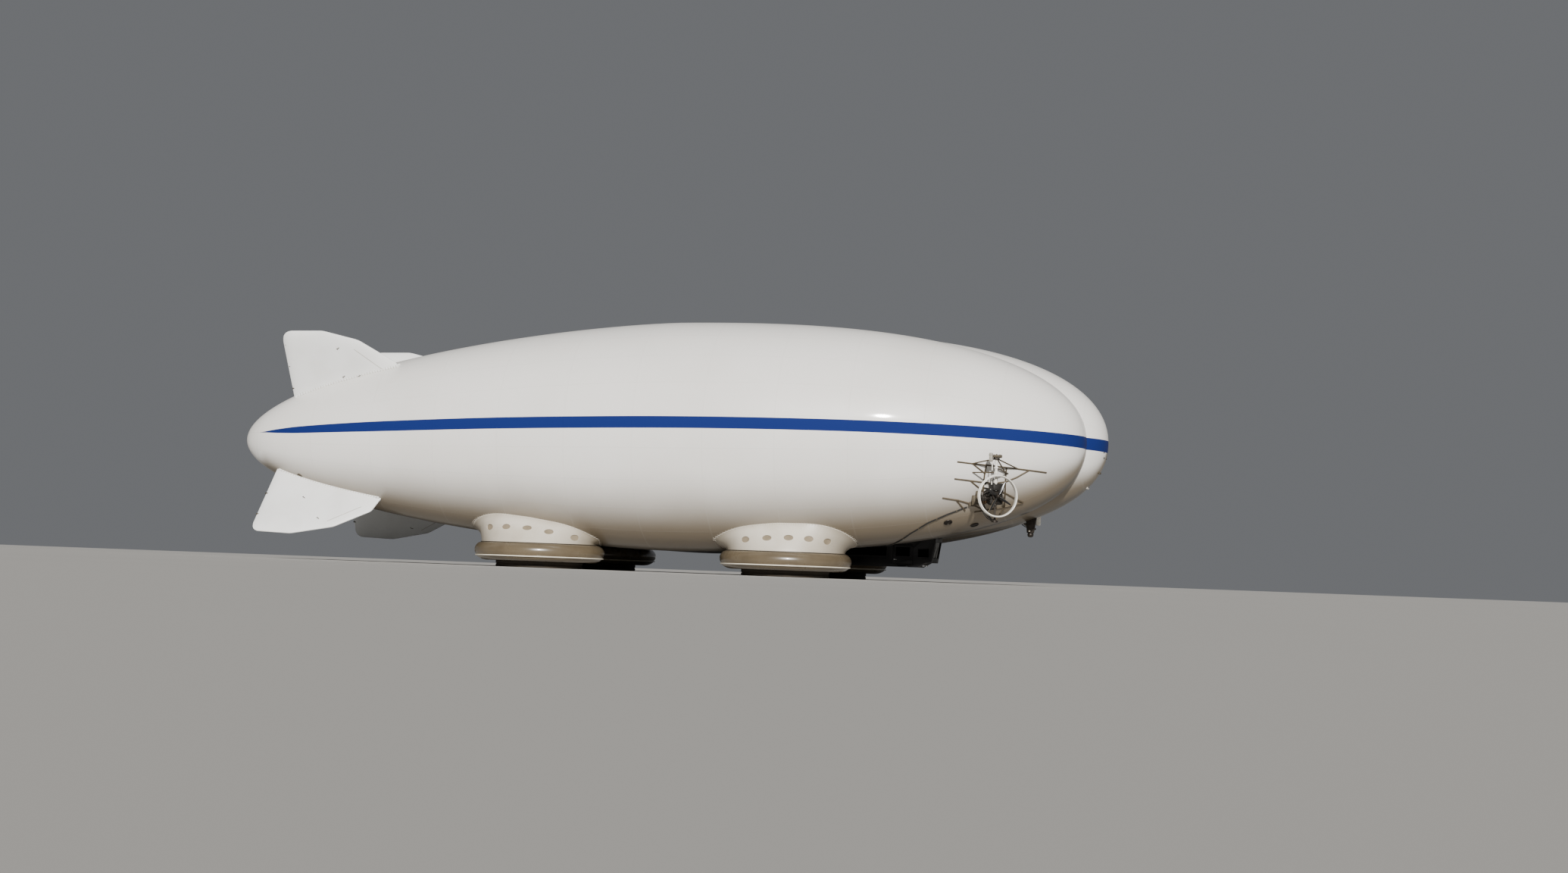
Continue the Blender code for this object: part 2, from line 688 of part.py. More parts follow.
def propeller(name, gap, side):
    nose = bmesh.new()
    profile = [(radius, x + (gap if x == ENGINE_FRONT else 0.0)) for radius, x in SPINNER]
    turned(nose, profile, 14, axis="X")
    blades = bmesh.new()
    for k in range(BLADE_COUNT):
        spin = Matrix.Rotation(math.radians(side * BLADE_REST) + math.tau * k / BLADE_COUNT, 3, "X")
        rings = []
        for reach, chord, twist in BLADE_STATIONS:
            turn = math.radians(twist)
            half = Vector((math.sin(turn), math.cos(turn), 0.0)) * chord / 2
            thick = Vector((math.cos(turn), -math.sin(turn), 0.0)) * BLADE_HALF_THICKNESS
            middle = Vector((PROPELLER_PLANE, 0.0, reach))
            corners = (middle - half, middle - thick, middle + half, middle + thick)
            rings.append(ring_of(blades, [spin @ point for point in corners]))
        skin(blades, rings)
    made, blade_set = add(name, nose, DARK, 0.35), helper(name + "_blades", blades)
    boolean(made, blade_set, "UNION", own_overlaps=True)
    return made, blade_set


def thruster(name, side, hub, heading, post_top, scale=1.0):
    """A whole thruster at its hub, facing along heading degrees from +X."""
    turn = Matrix.Rotation(math.radians(heading), 4, "Z")
    place = Matrix.Translation(hub) @ turn @ Matrix.Scale(scale, 4)
    gap = SEAT_GAP / scale
    pieces = engine(name + "_engine", post_top) + guard(name + "_guard", gap, side)
    pieces += propeller(name + "_propeller", gap, side)
    for made in pieces:
        made.matrix_world = place


def frame_of(name, bars, plates, radius):
    """Bars and bearing plates welded into one frame."""
    first = bmesh.new()
    bar(first, bars[0], radius)
    rest = bmesh.new()
    for points in bars[1:]:
        bar(rest, points, radius)
    for centre in plates:
        turned(rest, ((PLATE_RADIUS, 0.0), (PLATE_RADIUS, PLATE)), 12, centre)
    made = add(name, first, WHITE, 0.4)
    boolean(made, helper(name + "_rest", rest), "UNION", own_overlaps=True)
    return made


def arm(plate, far):
    """A strut from the rim of a bearing plate to a far point, clear of the post on the plate's face."""
    centre = plate + Vector((0, 0, PLATE / 2))
    level = Vector((far.x - centre.x, far.y - centre.y, 0.0)).normalized()
    return centre + level * (PLATE_RADIUS - STRUT), far


def side_frame(name, side):
    """Rails along the hull, joined by two uprights, with struts out to the swivel's two bearings."""
    hub = Vector((SIDE_HUB[0], side * SIDE_HUB[1], SIDE_HUB[2]))
    plates = {
        "top": hub + Vector((0, 0, SIDE_POST_TOP + SEAT_GAP)),
        "foot": hub + Vector((0, 0, POST_BOTTOM - SEAT_GAP - PLATE)),
    }
    bars = []
    for tube in RAILS + UPRIGHTS:
        bars.append([hull_point_at_height(x, side, z, STRUT_OUT) for x, z in tube])
    for plate, x, z in STRUTS:
        bars.append(arm(plates[plate], hull_point_at_height(x, side, z, STRUT_OUT)))
    return frame_of(name, bars, plates.values(), STRUT)


def stern_frame(name):
    """One mast behind the centre lobe, with arms to both swivels and stays forward into the hull."""
    x, y, z = STERN_HUB
    high = z + STERN_POST_TOP * STERN_SCALE + SEAT_GAP
    low = z + POST_BOTTOM * STERN_SCALE - SEAT_GAP - PLATE
    bars = [((STERN_MAST_X, 0, low + STERN_MAST_ENDS[0]), (STERN_MAST_X, 0, high + STERN_MAST_ENDS[1]))]
    plates = []
    for level, slope in ((high, -STERN_STAY_SLOPE), (low, STERN_STAY_SLOPE)):
        middle = level + PLATE / 2
        for side in SIDES.values():
            plates.append(Vector((x, side * y, level)))
            bars.append(arm(plates[-1], Vector((STERN_MAST_X, 0, middle))))
        bars.append(((STERN_MAST_X, 0, middle), (STERN_STAY_X, 0, middle + slope)))
    return frame_of(name, bars, plates, STERN_TUBE)


# Small pieces under the hull


def nose_mast():
    shape = bmesh.new()
    rings = []
    for x0, x1, half, z in NOSE_MAST_ENDS:
        rings.append(ring_of(shape, ((x0, -half, z), (x1, -half, z), (x1, half, z), (x0, half, z))))
    skin(shape, rings)
    return add("nose_mast", shape, DARK, 0.5)


def nose_lamp():
    shape = bmesh.new()
    turned(shape, NOSE_LAMP_PROFILE, 16, (NOSE_LAMP_X, 0, 0))
    return add("nose_lamp", shape, GREY, 0.2)


def conduit(name, side):
    """A cable duct from the gondola round the belly to the thruster's frame."""
    x = CONDUIT_START_X
    points = [(x, side * y, belly_height(x, y, 0) - 0.01) for y in (GONDOLA_HALF_WIDTH - 0.02, 1.25)]
    points += [hull_point(x, side, angle, 0.01) for x, angle in CONDUIT_ROUTE]
    shape = bmesh.new()
    bar(shape, points, CONDUIT_RADIUS)
    return add(name, shape, DARK, 0.6)


def one_side(word, side, hull, centre_hull, pocket):
    """Everything that stands once on each side of the airship."""
    cut(lobe(f"lobe_{word}", side), centre_hull)
    for place, (angle, corners) in FIN_OUTLINES.items():
        cut(fin(f"fin_{place}_{word}", side, angle, corners), hull)
    for place, x in PAD_X.items():
        centre = (x, side * PAD_Y, 0.0)
        pad_base(f"pad_base_{place}_{word}", centre)
        pad_ring(f"pad_ring_{place}_{word}", centre)
        cut(pad_fairing(f"pad_fairing_{place}_{word}", side, centre, HOLES[place]), hull, centre_hull)
    cut(side_frame(f"side_frame_{word}", side), hull)
    x, y, z = SIDE_HUB
    thruster(f"side_thruster_{word}", side, (x, side * y, z), SIDE_AIMS[side], SIDE_POST_TOP)
    x, y, z = STERN_HUB
    thruster(f"stern_thruster_{word}", -side, (x, side * y, z), 180.0, STERN_POST_TOP, STERN_SCALE)
    cut(conduit(f"conduit_{word}", side), hull, centre_hull, pocket)


def build():
    clear_scene()
    hulls = {}
    for word, side in (("right", -1), ("centre", 0), ("left", 1)):
        hulls[side] = helper(f"hull_cutter_{word}", lobe_shape(side, SEAT_GAP))
    pocket = gondola_pocket()
    cut(lobe("lobe_centre", 0), hulls[-1], hulls[1], pocket)
    gondola()
    cut(nose_mast(), hulls[0])
    nose_lamp()
    cut(stern_frame("stern_frame"), hulls[0])
    for word, side in SIDES.items():
        one_side(word, side, hulls[side], hulls[0], pocket)


build()
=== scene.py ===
"""A three-lobed airship on air-cushion pads, dressed piece by piece in the order it is put together.

Metres, +Z up, nose to +X, port side to +Y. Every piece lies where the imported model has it.
"""

import math

import bmesh
import bpy
from mathutils import Matrix, Vector


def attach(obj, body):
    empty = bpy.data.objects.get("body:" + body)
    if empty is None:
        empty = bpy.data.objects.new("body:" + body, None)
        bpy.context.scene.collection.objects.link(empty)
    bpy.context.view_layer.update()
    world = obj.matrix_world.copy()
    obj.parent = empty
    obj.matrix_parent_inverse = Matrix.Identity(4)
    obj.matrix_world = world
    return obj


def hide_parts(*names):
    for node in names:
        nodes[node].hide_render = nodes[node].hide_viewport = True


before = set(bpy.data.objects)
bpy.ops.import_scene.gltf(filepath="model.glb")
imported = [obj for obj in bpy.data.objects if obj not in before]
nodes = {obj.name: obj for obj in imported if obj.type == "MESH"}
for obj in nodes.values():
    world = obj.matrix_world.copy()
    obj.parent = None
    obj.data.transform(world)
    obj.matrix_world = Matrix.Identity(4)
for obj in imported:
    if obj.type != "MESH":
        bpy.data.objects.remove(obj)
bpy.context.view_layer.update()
sides = {"right": -1, "left": 1}


# The envelope: three lobes of white coated fabric, held round by the gas in them and welded along two
# creases. Each lobe is made of long gores. A blue band is painted along the outer lobes and round the nose.
lobe_nose = {-1: 17.6, 0: 18.3, 1: 17.6}
lobe_tail = {-1: -18.3, 0: -15.9, 1: -18.3}
half_length = 18.3
widest_station = 0.95
gores = 22
gore_panel = 2.9
band_height = (
    (-17.3, 5.30), (-15.0, 5.42), (-10.9, 5.61), (-3.7, 5.88),
    (6.1, 6.07), (12.3, 6.05), (17.6, 5.90), (18.3, 5.87),
)
band_half_width = (
    (-17.3, 0.0), (-17.1, 0.012), (-16.6, 0.055), (-15.9, 0.105), (-15.0, 0.145),
    (-13.0, 0.185), (-10.9, 0.21), (-3.7, 0.235), (12.3, 0.235), (18.3, 0.25),
)
band_inner_edge = ((-18.3, 3.1), (-8.0, 3.1), (8.0, 1.0), (13.0, 0.01), (18.3, 0.01))


def lobe_reach(x, side):
    """How far a lobe's fabric is from its axis at x; side 0 is the centre lobe."""
    widest = 4.75 if side else 4.55
    if x > widest_station:
        share = (x - widest_station) / (lobe_nose[side] - widest_station)
        along, across = (2.62, 2.26) if side else (3.27, 2.15)
    else:
        share = (widest_station - x) / (widest_station - lobe_tail[side])
        along, across = 1.5, 1.92
    return widest * max(1.0 - min(share, 1.0) ** along, 0.0) ** (1.0 / across)


def lobe_middle(x, side):
    """A lobe's axis at x: it bows upwards, and those of the outer lobes close in towards the ends."""
    share = x / half_length
    amidships, at_end = 3.325, 1.95 if x > 0 else 3.3
    spread = amidships + (at_end - amidships) * share**2
    height = 5.44 + 0.024 * x + 0.19 * (1.0 - share**2) - 0.033 * share**3
    return Vector((x, side * spread, height + (0.0 if side else 0.12)))


def on_lobe(x, side, angle, out=0.0):
    """A point on a lobe's fabric, angle degrees from its top towards its own side."""
    turn = math.radians(angle)
    way = Vector((0.0, (side or 1) * math.sin(turn), math.cos(turn)))
    return lobe_middle(x, side) + way * (lobe_reach(x, side) + out)


def beside_lobe(x, side, height, out=0.0):
    """The outboard point of an outer lobe at x and a height."""
    middle = lobe_middle(x, side)
    angle = math.degrees(math.acos((height - middle.z) / (lobe_reach(x, side) + out)))
    return on_lobe(x, side, angle, out)


def paint(red, green, blue):
    """A colour as the shader takes it, from its three values out of 255."""
    return tuple((value / 255.0) ** 2.2 for value in (red, green, blue)) + (1.0,)


def feed(fed, sockets):
    """Sets a node's inputs, each to a value or to what another node's socket gives."""
    for key, value in sockets.items():
        if isinstance(value, bpy.types.NodeSocket):
            fed.id_data.links.new(value, fed.inputs[key])
        else:
            fed.inputs[key].default_value = value


def node(tree, kind, sockets=(), **settings):
    """A new node with its settings and its inputs."""
    new = tree.nodes.new("ShaderNode" + kind)
    for key, value in settings.items():
        setattr(new, key, value)
    feed(new, dict(sockets))
    return new


def maths(tree, operation, *values, clamp=False):
    """The result of one operation on values or sockets."""
    return node(tree, "Math", enumerate(values), operation=operation, use_clamp=clamp).outputs[0]


def fade(tree, value, start, end):
    """0 at start to 1 at end, eased at both."""
    sockets = {0: value, 1: start, 2: end, 3: 0.0, 4: 1.0}
    return node(tree, "MapRange", sockets, interpolation_type="SMOOTHSTEP").outputs[0]


def mixed(tree, share, first, second):
    """The first colour at share 0, the second at 1."""
    return node(tree, "Mix", {0: share, 6: first, 7: second}, data_type="RGBA").outputs[2]


def swing(tree, noise, amount):
    """A noise brought about 0, as an unevenness of that size."""
    return maths(tree, "MULTIPLY", maths(tree, "SUBTRACT", noise, 0.5), amount)


def effect(name, inputs, outputs):
    """An empty node group with sockets of the given kinds, what comes in, and the node for the results."""
    group = bpy.data.node_groups.new(name, "ShaderNodeTree")
    for way, sockets in (("INPUT", inputs), ("OUTPUT", outputs)):
        for label, kind in sockets.items():
            group.interface.new_socket(label, in_out=way, socket_type="NodeSocket" + kind)
    return group, group.nodes.new("NodeGroupInput").outputs, group.nodes.new("NodeGroupOutput")


# Weathering: broad patches of a second tone, a little unevenness in the gloss, and fine grain for the bump
weathering, given, result = effect(
    "weathering",
    {"Colour": "Color", "Dirt": "Color", "Amount": "Float", "Scale": "Float", "Roughness": "Float"},
    {"Colour": "Color", "Roughness": "Float", "Grain": "Float"},
)
place = node(weathering, "TexCoord").outputs["Object"]
broad = node(weathering, "TexNoise", {"Vector": place, "Scale": given["Scale"], "Detail": 5.0}).outputs[0]
patches = maths(weathering, "MULTIPLY", fade(weathering, broad, 0.42, 0.72), given["Amount"])
fine_scale = maths(weathering, "MULTIPLY", given["Scale"], 14.0)
fine = node(weathering, "TexNoise", {"Vector": place, "Scale": fine_scale, "Detail": 3.0}).outputs[0]
gloss = maths(weathering, "ADD", given["Roughness"], swing(weathering, broad, 0.3), clamp=True)
worn_colour = mixed(weathering, patches, given["Colour"], given["Dirt"])
feed(result, {"Colour": worn_colour, "Roughness": gloss, "Grain": fine})

# Dust: blown up from the ground, thick low down and gone higher up, with a broken edge
dusting, given, result = effect(
    "ground dust",
    {"Colour": "Color", "Dust": "Color", "Low": "Float", "High": "Float", "Amount": "Float"},
    {"Colour": "Color"},
)
place = node(dusting, "TexCoord").outputs["Object"]
height = node(dusting, "SeparateXYZ", {0: place}).outputs["Z"]
clouds = node(dusting, "TexNoise", {"Vector": place, "Scale": 0.35, "Detail": 6.0}).outputs[0]
height = maths(dusting, "ADD", height, swing(dusting, clouds, 0.9))
share = maths(dusting, "MULTIPLY", fade(dusting, height, given["High"], given["Low"]), given["Amount"])
feed(result, {"Colour": mixed(dusting, share, given["Colour"], given["Dust"])})

# Painted shade, partly soil, underneath: it starts on the flanks and deepens to each lobe's keel,
# broken-edged
painted_shade_and_soil, given, result = effect(
    "underside soil",
    {"Colour": "Color", "Darkening": "Color", "Angle": "Float", "Start": "Float", "End": "Float",
     "Amount": "Float"},
    {"Colour": "Color"},
)
place = node(painted_shade_and_soil, "TexCoord").outputs["Object"]
clouds = node(painted_shade_and_soil, "TexNoise", {"Vector": place, "Scale": 0.3, "Detail": 5.0}).outputs[0]
angle = maths(painted_shade_and_soil, "ADD", given["Angle"], swing(painted_shade_and_soil, clouds, 7.0))
share = maths(painted_shade_and_soil, "MULTIPLY", fade(painted_shade_and_soil, angle, given["Start"], given["End"]), given["Amount"])
feed(result, {"Colour": mixed(painted_shade_and_soil, share, given["Colour"], given["Darkening"])})

# Welded seams: where the pattern's two directions reach whole numbers, a tape of a given width lies proud
seams, given, result = effect(
    "welded seams",
    {"Pattern": "Vector", "Width across": "Float", "Width along": "Float"},
    {"Tape": "Float"},
)
split = node(seams, "SeparateXYZ", {0: given["Pattern"]}).outputs
tapes = []
for way, width in ((0, "Width across"), (1, "Width along")):
    off = maths(seams, "ABSOLUTE", maths(seams, "SUBTRACT", maths(seams, "FRACT", split[way]), 0.5))
    inner = maths(seams, "SUBTRACT", 0.5, given[width])
    tapes.append(fade(seams, off, maths(seams, "MULTIPLY", inner, 0.985), inner))
feed(result, {"Tape": maths(seams, "MAXIMUM", *tapes)})


def shader_of(material):
    """The material's shader."""
    return material.node_tree.nodes["Principled BSDF"]


def finish(name, colour, dirt, amount, scale, roughness, metallic=0.0, bump=0.15, coat=0.0):
    """A weathered material with a fine grain, whose shader can be taken further."""
    new = bpy.data.materials.new(name)
    new.use_nodes = True
    settings = {"Colour": colour, "Dirt": dirt, "Amount": amount, "Scale": scale, "Roughness": roughness}
    worn = node(new.node_tree, "Group", settings, node_tree=weathering).outputs
    relief = node(new.node_tree, "Bump", {"Height": worn["Grain"], "Strength": bump, "Distance": 0.004})
    feed(shader_of(new), {
        "Base Color": worn["Colour"], "Roughness": worn["Roughness"], "Metallic": metallic,
        "Normal": relief.outputs[0], "Coat Weight": coat, "Coat Roughness": 0.12,
    })
    return new


def coloured_through(material, group, sockets):
    """Takes the material's colour through a node group on its way to the shader, and gives the new colour."""
    shader = shader_of(material)
    before = shader.inputs["Base Color"].links[0].from_socket
    after = node(material.node_tree, "Group", {"Colour": before, **sockets}, node_tree=group).outputs[0]
    feed(shader, {"Base Color": after})
    return after


def curve_of(tree, x, points):
    """A smooth curve through (x, value) points, as a node on x."""
    low, high = points[0][0], points[-1][0]
    most = max(value for _, value in points)
    share = node(tree, "MapRange", {0: x, 1: low, 2: high, 3: 0.0, 4: 1.0}).outputs[0]
    bend = node(tree, "FloatCurve", {"Value": share})
    line = bend.mapping.curves[0]
    for _ in points[2:]:
        line.points.new(0.5, 0.5)
    for point, (at, value) in zip(line.points, points):
        point.location = ((at - low) / (high - low), value / most)
    bend.mapping.update()
    return maths(tree, "MULTIPLY", bend.outputs[0], most)


def placement(at, along, across, out):
    """A placement at a point, its X, Y and Z laid along three directions."""
    return Matrix.Translation(at) @ Matrix((along, across, out)).transposed().to_4x4()


def in_scene(name, data):
    """A new object in the scene."""
    new = bpy.data.objects.new(name, data)
    bpy.context.scene.collection.objects.link(new)
    return new


def mesh_of(name, shape):
    """A bmesh as a mesh; the bmesh itself is done with."""
    mesh = bpy.data.meshes.new(name)
    shape.to_mesh(mesh)
    shape.free()
    return mesh


def made(name, shape, material, body="airship", crease=40):
    """Turns a bmesh into a piece of that material, sharp where its faces turn by more than the crease."""
    bmesh.ops.recalc_face_normals(shape, faces=shape.faces)
    mesh = mesh_of(name, shape)
    mesh.shade_smooth()
    mesh.set_sharp_from_angle(angle=math.radians(crease))
    mesh.materials.append(material)
    piece = in_scene(name, mesh)
    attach(piece, body)
    return piece


def stands_for(piece, node_name):
    """The piece takes a CAD node's place."""
    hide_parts(node_name)


def carved(piece, cutter_shape):
    """Takes a shape out of a piece for good."""
    bmesh.ops.recalc_face_normals(cutter_shape, faces=cutter_shape.faces)
    cutter = in_scene("cutter", mesh_of("cutter", cutter_shape))
    knife = piece.modifiers.new("cut", "BOOLEAN")
    knife.operation, knife.object, knife.solver = "DIFFERENCE", cutter, "EXACT"
    whole = piece.evaluated_get(bpy.context.evaluated_depsgraph_get())
    old, piece.data = piece.data, bpy.data.meshes.new_from_object(whole)
    piece.data.name = piece.name
    piece.modifiers.clear()
    bpy.data.objects.remove(cutter)
    bpy.data.meshes.remove(old)


def block(shape, low, high, rounding=0.0, segments=2):
    """A box between two corners with rounded edges."""
    low, high = Vector(low), Vector(high)
    corners = bmesh.ops.create_cube(shape, size=1.0)["verts"]
    bmesh.ops.scale(shape, vec=high - low, verts=corners)
    bmesh.ops.translate(shape, vec=(low + high) / 2, verts=corners)
    if rounding:
        edges = list({edge for corner in corners for edge in corner.link_edges})
        bmesh.ops.bevel(shape, geom=edges, offset=rounding, offset_type="OFFSET", segments=segments,
                        profile=0.5, affect="EDGES", clamp_overlap=True, material=-1)


def prism(shape, outline, low, high):
    """An (x, z) outline drawn out along Y."""
    flat = shape.faces.new([shape.verts.new((x, low, z)) for x, z in outline])
    drawn = bmesh.ops.extrude_face_region(shape, geom=[flat], use_keep_orig=True)["geom"]
    moved = [part for part in drawn if isinstance(part, bmesh.types.BMVert)]
    bmesh.ops.translate(shape, vec=(0, high - low, 0), verts=moved)


gondola_outline = (
    (7.0, 0.72), (7.12, 0.6), (10.6, 0.6), (10.95, 0.8), (11.2, 0.8), (11.37, 1.9), (11.3, 2.2), (7.0, 2.2),
)
gondola_half = 0.9
fabric_coat = 0.24
# Towards tail and nose the painted shade and soil start lower: from one x to another, by so many degrees
shade_eased_at_ends = ((-16.9, -18.3, 65.0), (16.8, 18.2, 18.0))
# Brown dust and painted shade, then nearly black painted shade at the keel: start and end in degrees from the
# top, amount and colour
underside_shade_and_soil = (
    (107.0, 151.0, 0.9, paint(107, 92, 67)),
    (152.0, 187.0, 0.95, paint(24, 18, 10)),
)

envelope = finish("envelope fabric", paint(231, 229, 225), paint(217, 214, 208), 0.5, 0.16, 0.4,
                  bump=0.04, coat=fabric_coat)
tree = envelope.node_tree
pattern = node(tree, "UVMap", uv_map="gores").outputs[0]
turn = maths(tree, "MULTIPLY", node(tree, "SeparateXYZ", {0: pattern}).outputs["X"], 360.0 / gores)
from_top = maths(tree, "SUBTRACT", 180.0, maths(tree, "ABSOLUTE", maths(tree, "SUBTRACT", turn, 180.0)))
position = node(tree, "SeparateXYZ", {0: node(tree, "TexCoord").outputs["Object"]}).outputs
easing_at_ends = [maths(tree, "MULTIPLY", fade(tree, position["X"], start, end), angle)
           for start, end, angle in shade_eased_at_ends]
from_top = maths(tree, "SUBTRACT", from_top, maths(tree, "ADD", *easing_at_ends))
# The underside is darkened in two stages: painted shade, with some ground dust in the brown one
for start, end, amount, shade_and_soil in underside_shade_and_soil:
    settings = {"Angle": from_top, "Start": start, "End": end, "Amount": amount, "Darkening": shade_and_soil}
    shaded_and_soiled = coloured_through(envelope, painted_shade_and_soil, settings)
widths = {"Width across": 0.014, "Width along": 0.007}
tape = node(tree, "Group", {"Pattern": pattern, **widths}, node_tree=seams).outputs[0]
taped = mixed(tree, maths(tree, "MULTIPLY", tape, 0.07), shaded_and_soiled, paint(186, 184, 180))
band_middle = curve_of(tree, position["X"], band_height)
off_middle = maths(tree, "ABSOLUTE", maths(tree, "SUBTRACT", position["Z"], band_middle))
inside = maths(tree, "SUBTRACT", curve_of(tree, position["X"], band_half_width), off_middle)
off_keel = maths(tree, "ADD", maths(tree, "ABSOLUTE", position["Y"]), 0.06)
outboard = maths(tree, "GREATER_THAN", off_keel, curve_of(tree, position["X"], band_inner_edge))
band = maths(tree, "MULTIPLY", fade(tree, inside, -0.004, 0.004), outboard)
skin = shader_of(envelope)
gloss, relief = (skin.inputs[label].links[0].from_socket for label in ("Roughness", "Normal"))
raised = node(tree, "Bump", {"Height": tape, "Strength": 0.35, "Distance": 0.004, "Normal": relief})
feed(skin, {
    "Base Color": mixed(tree, band, taped, paint(0, 33, 96)),
    "Roughness": maths(tree, "MAXIMUM", gloss, maths(tree, "MULTIPLY", band, 0.85)),
    "Specular IOR Level": 0.35,
    "Coat Weight": maths(tree, "MULTIPLY", maths(tree, "SUBTRACT", 1.0, band), fabric_coat),
    "Coat Roughness": 0.07,
    "Normal": raised.outputs[0],
})


def lobe(name, side):
    """A fine ball drawn out to the lobe's lines, its poles at nose and tail, its pattern laid in gores."""
    shape = bmesh.new()
    bmesh.ops.create_uvsphere(shape, u_segments=132, v_segments=96, radius=1.0)
    middle = (lobe_nose[side] + lobe_tail[side]) / 2
    half = (lobe_nose[side] - lobe_tail[side]) / 2
    turns = {}
    for vert in shape.verts:
        x = middle + half * max(-1.0, min(1.0, vert.co.z))
        at_pole = abs(vert.co.z) > 0.9999999
        turns[vert] = None if at_pole else math.degrees(math.atan2(vert.co.x, vert.co.y)) % 360.0
        vert.co = on_lobe(x, side, turns[vert] or 0.0)
    layer = shape.loops.layers.uv.new("gores")
    for face in shape.faces:
        known = [turns[vert] for vert in face.verts if turns[vert] is not None]
        wraps = max(known) - min(known) > 180.0
        known = [turn + 360.0 if wraps and turn < 180.0 else turn for turn in known]
        for loop in face.loops:
            turn = turns[loop.vert]
            if turn is None:
                turn = sum(known) / len(known)
            elif wraps and turn < 180.0:
                turn += 360.0
            loop[layer].uv = (turn / 360.0 * gores, loop.vert.co.x / gore_panel)
    return made(name, shape, envelope, crease=80)


for word, side in (("right", -1), ("centre", 0), ("left", 1)):
    hull = lobe(f"envelope_lobe_{word}", side)
    if side == 0:
        hollow = bmesh.new()
        opening = [(x, z - 0.3 if z < 1.0 else z) for x, z in gondola_outline]
        prism(hollow, opening, -gondola_half, gondola_half)
        carved(hull, hollow)
    stands_for(hull, f"lobe_{word}")


# Four tail fins, two on each outer lobe: a light frame between two skins of taut white fabric, thin at the
# rim. They are laced to the hull through a cuff, with dark clips on the trailing edge and small cable eyes.
fin_outlines = {
    "upper": (27.0, ((-15.9, 1.4), (-16.08, 4.5), (-16.0, 4.78), (-15.76, 4.91), (-14.28, 4.94),
                     (-12.74, 4.55), (-11.14, 3.54), (-10.85, 2.4))),
    "lower": (144.0, ((-16.4, 0.9), (-16.76, 4.7), (-16.7, 4.93), (-16.54, 5.05), (-15.01, 5.12),
                      (-13.22, 4.71), (-11.76, 3.84), (-11.2, 2.4))),
}
fin_station = -14.0
fin_spines = {
    "upper": ((-14.9, 2.2), (-14.6, 3.6), (-12.6, 2.6)),
    "lower": ((-15.3, 2.2), (-15.2, 3.7), (-13.1, 2.7)),
}
fin_clips = {"upper": ((-15.96, 4.28), (-15.92, 3.3), (-15.9, 2.3)), "lower": ((-16.7, 4.2), (-16.6, 3.1))}
fin_eyes = {"upper": ((-13.7, 4.18), (-13.6, 2.9), (-12.9, 2.95)), "lower": ((-14.0, 4.35), (-14.9, 3.3))}
fin_cuffs = {"upper": (-15.85, -11.05), "lower": (-16.35, -11.55)}
fin_seams = {"upper": ((-12.93, 4.18), (-11.8, 3.31)), "lower": ((-13.5, 4.5), (-12.2, 3.7))}
fin_rim_half = 0.02
fin_swell_half = 0.105
fin_swell_width = 0.22
fin_fabric = finish("fin fabric", paint(236, 237, 236), paint(220, 220, 217), 0.5, 0.7, 0.42,
                    bump=0.05, coat=0.1)
seam_tape = finish("seam tape", paint(186, 183, 176), paint(160, 155, 146), 0.4, 3.0, 0.6)
dark_fitting = finish("dark fitting", paint(84, 76, 62), paint(52, 46, 36), 0.5, 6.0, 0.55, 0.3)
lacing = finish("lacing cord", paint(176, 170, 158), paint(120, 110, 96), 0.5, 8.0, 0.8)


def rods(name, runs, material, body="airship", rings=3, curved=False):
    """Round rods, each given as (radius, points), straight between them or curved, kept as one piece."""
    wire = bpy.data.curves.new(name, "CURVE")
    wire.dimensions, wire.use_fill_caps = "3D", True
    wire.bevel_depth, wire.bevel_resolution = 1.0, rings
    for radius, points in runs:
        run = wire.splines.new("NURBS" if curved else "POLY")
        run.points.add(len(points) - 1)
        for point, corner in zip(run.points, points):
            point.co, point.radius = (*corner, 1.0), radius
        run.use_endpoint_u, run.order_u = True, min(4, len(points))
    holder = in_scene(name, wire)
    bent = bpy.data.meshes.new_from_object(holder.evaluated_get(bpy.context.evaluated_depsgraph_get()))
    bpy.data.objects.remove(holder)
    shape = bmesh.new()
    shape.from_mesh(bent)
    bpy.data.meshes.remove(bent)
    return made(name, shape, material, body)


def fin_frame(side, angle):
    """The fin's own directions at the lobe's axis: out from the hull and across its skins."""
    turn = math.radians(angle)
    out = Vector((0.0, side * math.sin(turn), math.cos(turn)))
    return lobe_middle(fin_station, side), out, out.cross(Vector((1, 0, 0))).normalized()


def fin_point(side, angle, x, reach, off=0.0):
    """A point in or off the fin's middle plane, at a reach from the lobe's axis."""
    start, out, across = fin_frame(side, angle)
    return Vector((x, start.y, start.z)) + out * reach + across * off


def fin_root(side, angle, x):
    """How far out the fin leaves the hull at x."""
    start, out, across = fin_frame(side, angle)
    shift = lobe_middle(x, side) - Vector((x, start.y, start.z))
    return shift.dot(out) + math.sqrt(max(lobe_reach(x, side) ** 2 - shift.dot(across) ** 2, 0.0))


def fin_swell(distance):
    """Half the fin's thickness at a distance in from its rim."""
    return fin_rim_half + fin_swell_half * (1.0 - math.exp(-max(distance, 0.0) / fin_swell_width))


def nearest_on(point, line):
    """The nearest point to a point on a line of (x, reach) corners."""
    best = None
    for start, end in zip(line, line[1:]):
        start, end = Vector(start), Vector(end)
        share = max(0.0, min(1.0, (point - start).dot(end - start) / (end - start).length_squared))
        found = start.lerp(end, share)
        if best is None or (found - point).length < (best - point).length:
            best = found
    return best


def on_fin(side, kind, x, reach, face, out=0.0):
    """A point on one of the fin's two skins."""
    angle, outline = fin_outlines[kind]
    point = Vector((x, reach))
    depth = (nearest_on(point, outline) - point).length
    return fin_point(side, angle, x, reach, face * (fin_swell(depth) + out))


